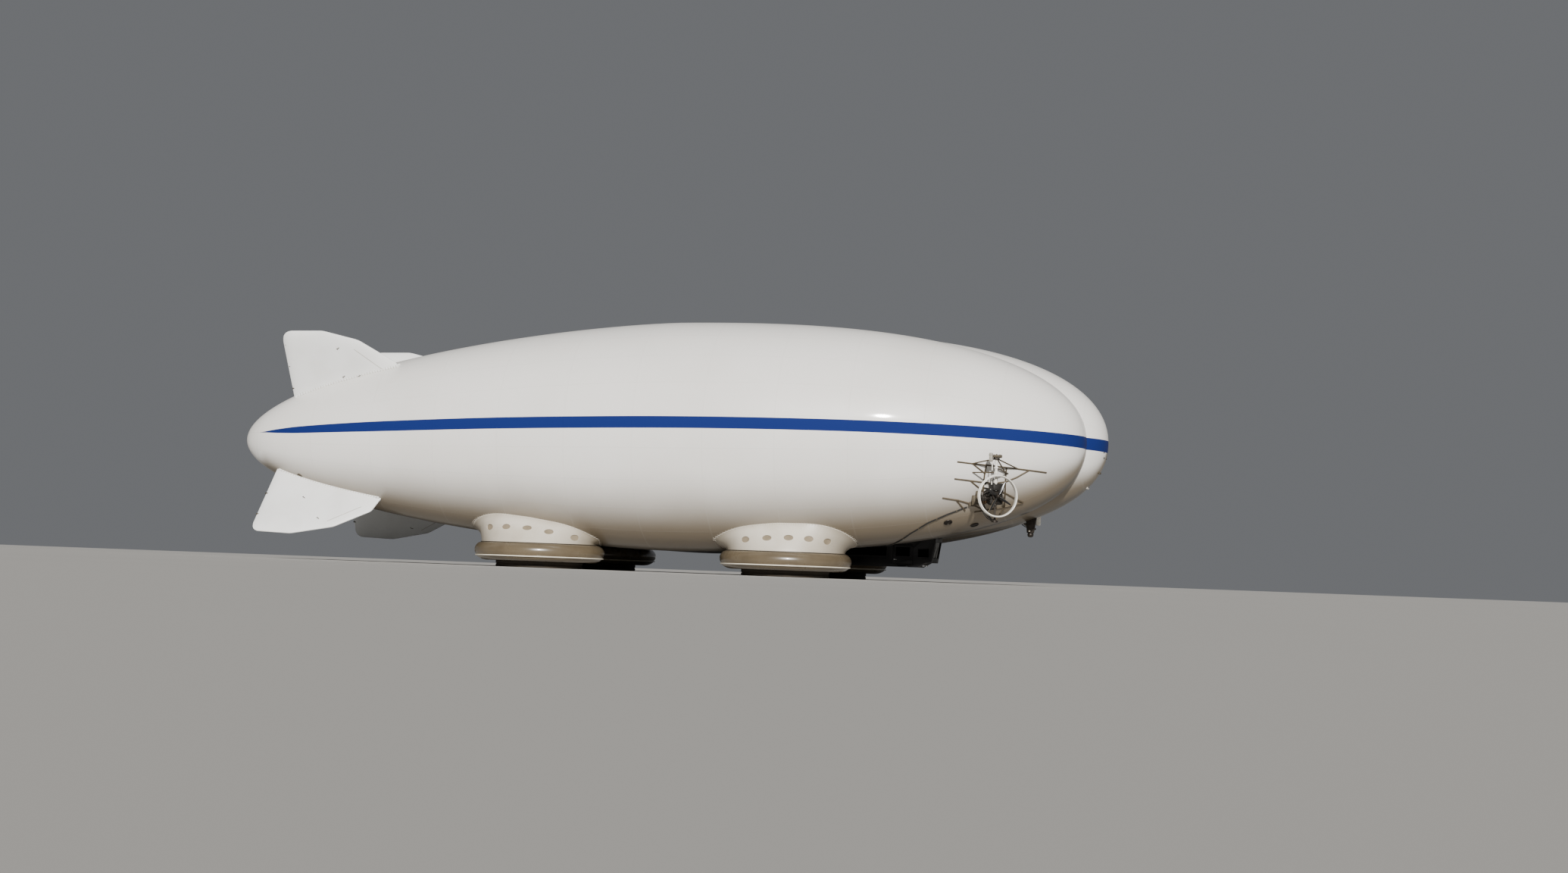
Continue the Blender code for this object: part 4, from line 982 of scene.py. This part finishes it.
def pipework(name, place_of, scale):
    """Exhaust and intake pipes, the muffler, the oil cooler with its hoses, and hoses up the post."""
    exhausts, intakes = [], []
    for bank in (-1, 1):
        for x in cylinders:
            exhausts.append((0.024, [(x, bank * 0.36, -0.16), (x - 0.02, bank * 0.37, -0.25),
                                     (x - 0.1, bank * 0.3, -0.31), (-0.56, bank * 0.18, -0.3),
                                     (-0.66, bank * 0.06, -0.24)]))
            bends = ((0.34, 0.0), (0.36, 0.1), (0.3, 0.19), (0.2, 0.24))
            intakes.append((0.02, [(x, bank * y, z) for y, z in bends]))
    local_rods(f"{name}_exhaust_pipes", exhausts, burnt_pipe, name, place_of, scale, curved=True)
    local_rods(f"{name}_intake_pipes", intakes, cast_metal, name, place_of, scale, curved=True)
    muffler = bmesh.new()
    drum = ((0.0, -0.2), (0.07, -0.2), (0.095, -0.17), (0.095, 0.17), (0.07, 0.2), (0.0, 0.2))
    turned(muffler, drum, 24)
    across = Matrix.Rotation(math.pi / 2, 3, "X")
    bmesh.ops.rotate(muffler, cent=(0, 0, 0), matrix=across, verts=muffler.verts)
    bmesh.ops.translate(muffler, vec=(-0.64, 0, -0.16), verts=muffler.verts)
    local_piece(f"{name}_muffler", muffler, burnt_pipe, name, place_of)
    cooler = bmesh.new()
    block(cooler, (-0.72, -0.17, -0.02), (-0.58, 0.17, 0.2), 0.015)
    for k in range(13):
        y = -0.156 + 0.026 * k
        block(cooler, (-0.735, y - 0.004, 0.0), (-0.56, y + 0.004, 0.18))
    local_piece(f"{name}_oil_cooler", cooler, cast_metal, name, place_of)
    hoses = []
    for bank in (-1, 1):
        hoses.append((0.016, [(-0.58, bank * 0.12, 0.14), (-0.53, bank * 0.2, 0.16), (-0.5, bank * 0.2, 0.08),
                              (-0.46, bank * 0.12, 0.06)]))
        hoses.append((0.012, [(-0.06, bank * 0.1, 0.49), (-0.06, bank * 0.1, 0.6), (-0.05, bank * 0.08, 0.75),
                              (-0.02, bank * 0.04, 0.84)]))
    local_rods(f"{name}_hoses", hoses, black_hose, name, place_of, scale, curved=True)


def swivel_post(name, place_of, scale, post_top, side):
    """The post the thruster turns on, below and above the engine, and the trunking up beside it."""
    low_post, high_post = bmesh.new(), bmesh.new()
    turned(low_post, ((0.0, -0.96), (0.05, -0.96), (0.05, -0.9), (0.036, -0.88), (0.036, -0.4),
                      (0.062, -0.38), (0.062, -0.3), (0.0, -0.3)), 20)
    turned(high_post, ((0.0, 0.22), (0.05, 0.22), (0.05, 0.5), (0.075, 0.52), (0.075, 0.6), (0.052, 0.62),
                       (0.052, post_top - 0.14), (0.07, post_top - 0.12), (0.07, post_top - 0.06),
                       (0.05, post_top - 0.04), (0.05, post_top), (0.0, post_top)), 24)
    local_piece(f"{name}_lower_post", low_post, cast_metal, name, place_of)
    local_piece(f"{name}_post", high_post, white_tube, name, place_of)
    beside = side * trunk_y
    rod = [(trunk_x, beside, 0.46), (trunk_x, beside, 0.82), (-0.03, beside * 0.3, 0.82)]
    local_rods(f"{name}_trunking", [(trunk_radius, rod)], white_tube, name, place_of, scale)


def guard(name, place_of, scale, side):
    """The guard's rounded ring with two beads, the bolted collar on the engine's nose, and four spokes."""
    half = ((0.842, 0.04), (0.833, 0.08), (0.82, 0.1), (0.805, 0.108), (0.79, 0.1), (0.78, 0.08),
            (0.775, 0.05))
    section = [(radius, -x) for radius, x in half[::-1]] + list(half)
    rim = bmesh.new()
    turned(rim, [(radius, 0.22 + x) for radius, x in section], 96, along_x=True, closed=True)
    for x in (0.2, 0.24):
        bead = ((0.838, x - 0.008), (0.846, x - 0.004), (0.846, x + 0.004), (0.838, x + 0.008))
        turned(rim, bead, 96, along_x=True, closed=True)
    rim = local_piece(f"{name}_guard_ring", rim, white_tube, name, place_of, crease=60)
    stands_for(rim, f"{name}_guard")
    collar = bmesh.new()
    flange = ((0.1, engine_face), (0.165, engine_face), (0.17, 0.066), (0.17, 0.114), (0.165, 0.12),
              (0.1, 0.12))
    turned(collar, flange, 32, along_x=True, closed=True)
    for k in range(8):
        turn = math.tau * k / 8
        y, z = 0.135 * math.cos(turn), 0.135 * math.sin(turn)
        block(collar, (0.118, y - 0.012, z - 0.012), (0.132, y + 0.012, z + 0.012), 0.004)
    local_piece(f"{name}_guard_collar", collar, cast_metal, name, place_of)
    spokes = []
    for angle in (61, 151, 241, 331):
        turn = math.radians(angle)
        y, z = -side * math.cos(turn), math.sin(turn)
        spoke = [(x, y * reach, z * reach) for x, reach in ((0.09, 0.14), (0.12, 0.45), (0.15, 0.79))]
        spokes.append((0.013, spoke))
    local_rods(f"{name}_guard_spokes", spokes, grey_tube, name, place_of, scale)


def propeller(name, place_of, side):
    """A spun hub with its nose cone, and four twisted blades that thin towards tip and edges."""
    body = f"{name}_propeller"
    hub = bmesh.new()
    nose_cone = ((0.0, engine_face), (0.035, engine_face), (0.035, 0.16), (0.085, 0.165), (0.092, 0.175),
                 (0.092, 0.27), (0.085, 0.29), (0.068, 0.325), (0.045, 0.348), (0.02, 0.358), (0.0, 0.36))
    turned(hub, nose_cone, 28, along_x=True)
    blades = bmesh.new()
    for k in range(4):
        spin = Matrix.Rotation(math.radians(side * 29.0) + math.tau * k / 4, 3, "X")
        count = len(blades.verts)
        corners = bmesh.ops.create_cube(blades, size=1.0)["verts"]
        edges = list({edge for corner in corners for edge in corner.link_edges})
        bmesh.ops.subdivide_edges(blades, edges=edges, cuts=7, use_grid_fill=True)
        blades.verts.ensure_lookup_table()
        for vert in blades.verts[count:]:
            share, edge, face = max(vert.co.z + 0.5, 0.0), vert.co.y * 2, vert.co.x * 2
            reach = 0.06 + 0.6 * share
            chord = 0.055 + 0.075 * math.sin(math.pi * min(share * 0.78 + 0.16, 1.0)) - 0.035 * share**4
            turn = math.radians(50 - 36 * share**0.7)
            thick = (0.016 - 0.01 * share) * math.sqrt(max(1.0 - edge**2, 0.0)) + 0.0015
            flat = Vector((math.sin(turn), math.cos(turn), 0.0)) * chord * 0.5 * edge
            proud = Vector((math.cos(turn), -math.sin(turn), 0.0)) * thick * face
            vert.co = spin @ (Vector((0.235, 0.0, reach)) + flat + proud)
    for label, shape, material in (("hub", hub, cast_metal), ("blades", blades, laminate)):
        piece = local_piece(f"{body}_{label}", shape, material, body, place_of, crease=50)
        stands_for(piece, body)


for name, (hub, side, heading, scale, post_top) in thrusters.items():
    facing = Matrix.Rotation(math.radians(heading), 4, "Z")
    place_of = Matrix.Translation(hub) @ facing @ Matrix.Scale(scale, 4)
    crankcase(name, place_of)
    covers(name, place_of, scale, side)
    pipework(name, place_of, scale)
    swivel_post(name, place_of, scale, post_top, side)
    guard(name, place_of, scale, side)
    propeller(name, place_of, side)


# The frames that hold them: steel tubes strapped along the hull, two uprights, struts and arms out
# to the swivel post, with a gearbox, motor, hoses and drive boxes; at the stern one white mast with arms.
# The side frames' tubes are grey-brown as painted shadow: they stand for light tubes with the shadows they
# cast.
rails = (
    ((12.92, 4.82), (13.5, 4.775), (14.02, 4.738), (14.78, 4.684), (15.62, 4.62), (16.25, 4.57)),
    ((12.8, 4.15), (13.4, 4.1), (13.9, 4.06), (14.3, 4.04), (14.72, 4.12), (15.15, 4.32), (15.62, 4.62)),
    ((12.3, 3.38), (12.9, 3.31), (13.4, 3.18), (13.83, 2.96)),
    ((13.45, 2.885), (13.83, 2.96), (14.6, 3.14), (15.3, 3.34)),
    ((13.87, 3.85), (14.25, 3.8), (14.68, 3.68), (15.3, 3.34)),
)
uprights = (
    ((14.02, 4.738), (13.95, 4.4), (13.9, 4.06), (13.87, 3.85), (13.83, 2.96)),
    ((14.78, 4.684), (14.75, 4.44), (14.72, 4.12), (14.68, 3.68), (14.6, 3.14)),
)
struts = ((1, 13.5, 4.775), (1, 14.75, 4.44), (1, 15.2, 4.653), (-1, 13.83, 2.96), (-1, 14.6, 3.14))
arm_ends = ((13.5, 4.43, 4.43), (14.83, 4.45, 4.62))
braces = (((13.5, 4.775), (13.98, 4.4)), ((13.4, 4.1), (13.86, 3.72)), ((12.82, 3.32), (13.11, 2.93)))
drive_boxes_and_shade = (
    ((13.26, 4.88, 3.1), (13.5, 5.14, 3.3)),
    ((13.42, 4.95, 3.14), (13.68, 5.34, 3.54)),
    ((13.6, 5.1, 3.24), (13.8, 5.5, 3.72)),
)
side_plates = {1: 1.4403, -1: -1.0303}
stern_levels = ((6.0979, -0.1), (4.2041, 0.1))
plate_middle = 0.035
off_fabric = 0.012
motor_height = 5.07
gearbox_paint = finish("grey gearbox paint", paint(142, 137, 127), paint(98, 90, 78), 0.5, 6.0, 0.5)


def bearing(shape, foot):
    """A flat bearing plate with bolts round its rim, its foot at a point."""
    plate = ((0.0, 0.0), (0.122, 0.0), (0.13, 0.008), (0.13, 0.062), (0.122, 0.07), (0.0, 0.07))
    turned(shape, plate, 32, foot)
    for k in range(6):
        turn = math.tau * k / 6
        x, y = foot[0] + 0.1 * math.cos(turn), foot[1] + 0.1 * math.sin(turn)
        block(shape, (x - 0.012, y - 0.012, foot[2] - 0.004), (x + 0.012, y + 0.012, foot[2] + 0.082), 0.004)


def along_hull(run, side, out, steps=6):
    """A run of (x, height) corners laid on an outer lobe, with points between to follow the fabric."""
    laid = []
    for start, end in zip(run, run[1:]):
        laid += [Vector(start).lerp(Vector(end), k / steps) for k in range(steps)]
    return [beside_lobe(x, side, z, out) for x, z in laid + [Vector(run[-1])]]


for word, side in sides.items():
    hub, _, heading, *_ = thrusters[f"side_thruster_{word}"]
    hub = Vector(hub)
    plates = {end: hub + Vector((0, 0, off_hub)) for end, off_hub in side_plates.items()}
    # The frame's tubes and arms are grey-brown, a painted shadow for the shadows they cast on the white hull.
    tubes = [(0.031, along_hull(run, side, off_fabric)) for run in rails + uprights]
    for end, x, z in struts:
        far, middle = beside_lobe(x, side, z, off_fabric), plates[end] + Vector((0, 0, plate_middle))
        level = Vector((far.x - middle.x, far.y - middle.y, 0.0)).normalized()
        tubes.append((0.028, [middle + level * 0.1, far]))
    tubes_of_frame = rods(f"side_frame_{word}_tubes", tubes, grey_tube)
    stands_for(tubes_of_frame, f"side_frame_{word}")
    ends = bmesh.new()
    for end in plates.values():
        bearing(ends, end)
    made(f"side_frame_{word}_bearings", ends, cast_metal)
    gearbox = bmesh.new()
    block(gearbox, (14.23, hub.y - 0.09, 4.84), (14.37, hub.y + 0.09, 5.2), 0.02)
    for low, high in ((4.9, 4.93), (5.1, 5.13)):
        block(gearbox, (14.215, hub.y - 0.11, low), (14.385, hub.y + 0.11, high), 0.005)
    made(f"side_frame_{word}_gearbox", gearbox, gearbox_paint)
    motor = [(radius, [(start, hub.y, motor_height), (end, hub.y, motor_height)])
             for radius, start, end in ((0.058, 14.36, 14.74), (0.07, 14.4, 14.46), (0.07, 14.6, 14.7))]
    motor.append((0.03, [(hub.x, hub.y, 4.98), (hub.x, hub.y, 5.16)]))
    rods(f"side_frame_{word}_swivel_motor", motor, dark_fitting)
    arms = []
    for x, z, level in arm_ends:
        far, near = beside_lobe(x, side, z, off_fabric), Vector((hub.x, hub.y, level))
        arms.append((0.026, [near + (far - near).normalized() * 0.07, far]))
    for brace in braces:
        arms.append((0.028, along_hull(brace, side, 0.02)))
    rods(f"side_frame_{word}_arms", arms, grey_tube)
    away = Matrix.Rotation(math.radians(heading), 4, "Z") @ Vector((trunk_x, side * trunk_y, 0.0))
    trunk = [hub + away + Vector((0, 0, z)) for z in (1.02, 1.4)]
    trunk.append(plates[1] + away * 0.6 + Vector((0, 0, 0.02)))
    rods(f"side_frame_{word}_trunking", [(trunk_radius, trunk)], white_tube)
    # The dark drive boxes and the hoses below them also stand for the shadow the engine and guard cast on the
    # hull here: partly painted shade.
    boxes = bmesh.new()
    for low, high in drive_boxes_and_shade:
        near, far = sorted((side * low[1], side * high[1]))
        block(boxes, (low[0], near, low[2]), (high[0], far, high[2]), 0.03)
        for k in range(3):
            z = low[2] + 0.06 + 0.05 * k
            block(boxes, (low[0] + 0.02, near - 0.012, z), (high[0] - 0.02, far + 0.012, z + 0.02), 0.006)
    made(f"side_frame_{word}_drive_boxes_and_shade", boxes, dark_fitting)
    hoses = []
    for k in range(4):
        start = Vector((13.76 - 0.02 * k, side * (5.36 + 0.04 * k), 3.55 - 0.09 * k))
        end = Vector((14.46 + 0.02 * k, side * (6.36 - 0.03 * k), 2.5))
        sag = start.lerp(end, 0.5) - Vector((0, 0, 0.16 + 0.05 * k))
        hoses.append((0.018, [start, start.lerp(sag, 0.5), sag, end.lerp(sag, 0.4), end]))
    rods(f"side_frame_{word}_hoses", hoses, black_hose, curved=True)
    collars = bmesh.new()
    for z in (4.42, 4.62):
        sleeve = ((0.058, z - 0.035), (0.082, z - 0.035), (0.082, z + 0.035), (0.058, z + 0.035))
        turned(collars, sleeve, 24, (hub.x, hub.y, 0.0), closed=True)
    made(f"side_frame_{word}_collars", collars, white_tube)
mast_x, stay_end_x, stern_tube = -16.15, -14.3, 0.034
stern_ends = bmesh.new()
stern_tubes = [(stern_tube, [(mast_x, 0, 4.174), (mast_x, 0, 6.178)])]
for level, slope in stern_levels:
    middle = level + plate_middle
    for word in sides:
        x, y, _ = thrusters[f"stern_thruster_{word}"][0]
        bearing(stern_ends, (x, y, level))
        plate, far = Vector((x, y, middle)), Vector((mast_x, 0, middle))
        stern_tubes.append((stern_tube, [plate + (far - plate).normalized() * 0.1, far]))
    stern_tubes.append((stern_tube, [(mast_x, 0, middle), (stay_end_x, 0, middle + slope)]))
stern = rods("stern_frame_tubes", stern_tubes, white_tube)
stands_for(stern, "stern_frame")
made("stern_frame_bearings", stern_ends, grey_tube)


# Small pieces on the hull: a short nose mast with a lamp, round metal gas valves, a vent by each tail, domes
# and eyelets at the nose, and a clipped rubber cable duct on each side from the gondola to the side frame.
softened("nose_mast", cast_metal, 0.012)
softened("nose_lamp", cast_metal, 0.006)


def seat_on_hull(x, y, z, side):
    """A frame on a lobe's fabric near a point: X runs forward along the fabric and Z outward."""
    middle = lobe_middle(x, side)
    away = Vector((0.0, y - middle.y, z - middle.z)).normalized()
    here = middle + away * lobe_reach(x, side)
    along = (lobe_middle(x + 0.05, side) + away * lobe_reach(x + 0.05, side) - here).normalized()
    out = (away - along * away.dot(along)).normalized()
    return placement(here, along, out.cross(along), out)


def fitting(name, profile, place_of, material, steps=28):
    """A round fitting spun from (radius, height), set on the hull."""
    shape = bmesh.new()
    turned(shape, profile, steps)
    bmesh.ops.transform(shape, matrix=place_of, verts=shape.verts)
    made(name, shape, material)


valve = (
    (0.0, 0.012), (0.05, 0.016), (0.052, 0.004), (0.1, 0.004), (0.104, 0.016), (0.118, 0.016), (0.122, 0.004),
    (0.14, 0.004), (0.144, 0.024), (0.172, 0.024), (0.18, 0.014), (0.18, -0.02), (0.0, -0.02),
)
small_vent = (
    (0.0, 0.012), (0.06, 0.012), (0.065, 0.002), (0.1, 0.002), (0.104, 0.016), (0.125, 0.016), (0.13, -0.01),
    (0.0, -0.01),
)
dome = (
    (0.0, 0.05), (0.02, 0.046), (0.04, 0.03), (0.052, 0.008), (0.062, 0.006), (0.062, -0.01), (0.0, -0.01),
)
eyelet = ((0.0, 0.03), (0.02, 0.026), (0.032, 0.01), (0.036, -0.01), (0.0, -0.01))
for word, side in sides.items():
    for label, x, y, z in (("front", 12.38, 4.57, 2.39), ("inner", 13.34, 3.69, 2.35)):
        fitting(f"gas_valve_{label}_{word}", valve, seat_on_hull(x, side * y, z, side), cast_metal)
    fitting(f"hull_vent_{word}", small_vent, seat_on_hull(-15.31, side * 4.74, 3.49, side), dark_fitting)
    fitting(f"nose_fitting_upper_{word}", dome, seat_on_hull(17.97, side * 0.36, 4.78, 0), dark_fitting)
    fitting(f"nose_fitting_lower_{word}", dome, seat_on_hull(17.5, side * 0.21, 4.14, 0), seam_tape)
for label, x, y, z in (("upper", 18.2, 0.33, 5.78), ("lower", 18.19, 0.22, 5.7)):
    for word, side in sides.items():
        fitting(f"nose_eyelet_{label}_{word}", eyelet, seat_on_hull(x, side * y, z, 0), rubber, 16)
# The lamp's lens is a small pale ellipsoid: a painted highlight, standing for the glint of light on its
# glass.
lamp_middle = Vector((15.151, -0.13, 2.284))
lamp_lens_glint = bmesh.new()
bmesh.ops.create_uvsphere(lamp_lens_glint, u_segments=16, v_segments=10, radius=0.045)
for vert in lamp_lens_glint.verts:
    vert.co = lamp_middle + Vector((vert.co.x, vert.co.y * 0.6, vert.co.z)) * 0.9
made("nose_lamp_lens_glint", lamp_lens_glint, piping)
conduit_route = (
    (9.25, 199), (9.45, 190), (9.8, 179), (10.15, 171), (10.85, 158), (11.6, 148.5), (12.4, 143), (13.2, 139),
)
for word, side in sides.items():
    run = [Vector((9.2, side * y, under_hull(9.2, y, 0) - 0.01)) for y in (0.88, 1.0, 1.12, 1.25)]
    for (x, angle), (next_x, next_angle) in zip(conduit_route, conduit_route[1:]):
        for k in range(5):
            run.append(on_lobe(x + (next_x - x) * k / 5, side, angle + (next_angle - angle) * k / 5, 0.01))
    run.append(on_lobe(next_x, side, next_angle, 0.01))
    stands_for(rods(f"conduit_{word}_duct", [(0.03, run)], black_hose, curved=True), f"conduit_{word}")
    clips = [(0.036, [at.lerp(after, 0.3), at.lerp(after, 0.6)]) for at, after in zip(run[6::5], run[7::5])]
    rods(f"conduit_{word}_clips", clips, dark_fitting)


# The stage: a plain pale floor, a faint cool light all round, and one strong warm light like a low sun from
# the starboard side, a little ahead.
floor_shape = bmesh.new()
bmesh.ops.create_circle(floor_shape, cap_ends=True, segments=96, radius=900.0)
floor = in_scene("floor", mesh_of("floor", floor_shape))
floor_finish = finish("pale floor", paint(172, 170, 166), paint(166, 164, 160), 0.3, 0.05, 0.8, bump=0.0)
floor.data.materials.append(floor_finish)

world = bpy.data.worlds.new("soft light")
world.use_nodes = True
feed(world.node_tree.nodes["Background"], {"Color": (0.92, 0.95, 1.0, 1.0), "Strength": 0.17})
bpy.context.scene.world = world
towards_sun = Vector((0.247, -0.895, 0.371))
key = bpy.data.lights.new("key", "SUN")
key.energy, key.angle, key.color = 6.4, math.radians(2.0), (1.0, 0.975, 0.94)
in_scene("key", key).rotation_euler = towards_sun.to_track_quat("Z", "Y").to_euler()


# The camera: at floor level off the starboard bow, rolled a little, with the photograph's long lens.
camera_distance, camera_height = 120.0, 0.15
aimed_at = Vector((4.543, 0.0, 5.951))
photo_width, focal_length = 2070.0, 3697.3
film_width = 36.0
ahead_of_beam = math.radians(14.0)
camera_x = camera_distance * math.sin(ahead_of_beam)
camera_y = -camera_distance * math.cos(ahead_of_beam)
stand = Vector((camera_x, camera_y, camera_height))
ahead = (aimed_at - stand).normalized()
level_right = ahead.cross(Vector((0, 0, 1))).normalized()
level_up = level_right.cross(ahead)
roll = 0.037
right = level_right * math.cos(roll) + level_up * math.sin(roll)
upward = level_up * math.cos(roll) - level_right * math.sin(roll)
lens = bpy.data.cameras.new("camera")
lens.sensor_width, lens.lens = film_width, focal_length / photo_width * film_width
lens.clip_start, lens.clip_end = 1.0, 3000.0
camera = in_scene("camera", lens)
camera.matrix_world = placement(stand, right, upward, -ahead)
bpy.context.scene.camera = camera
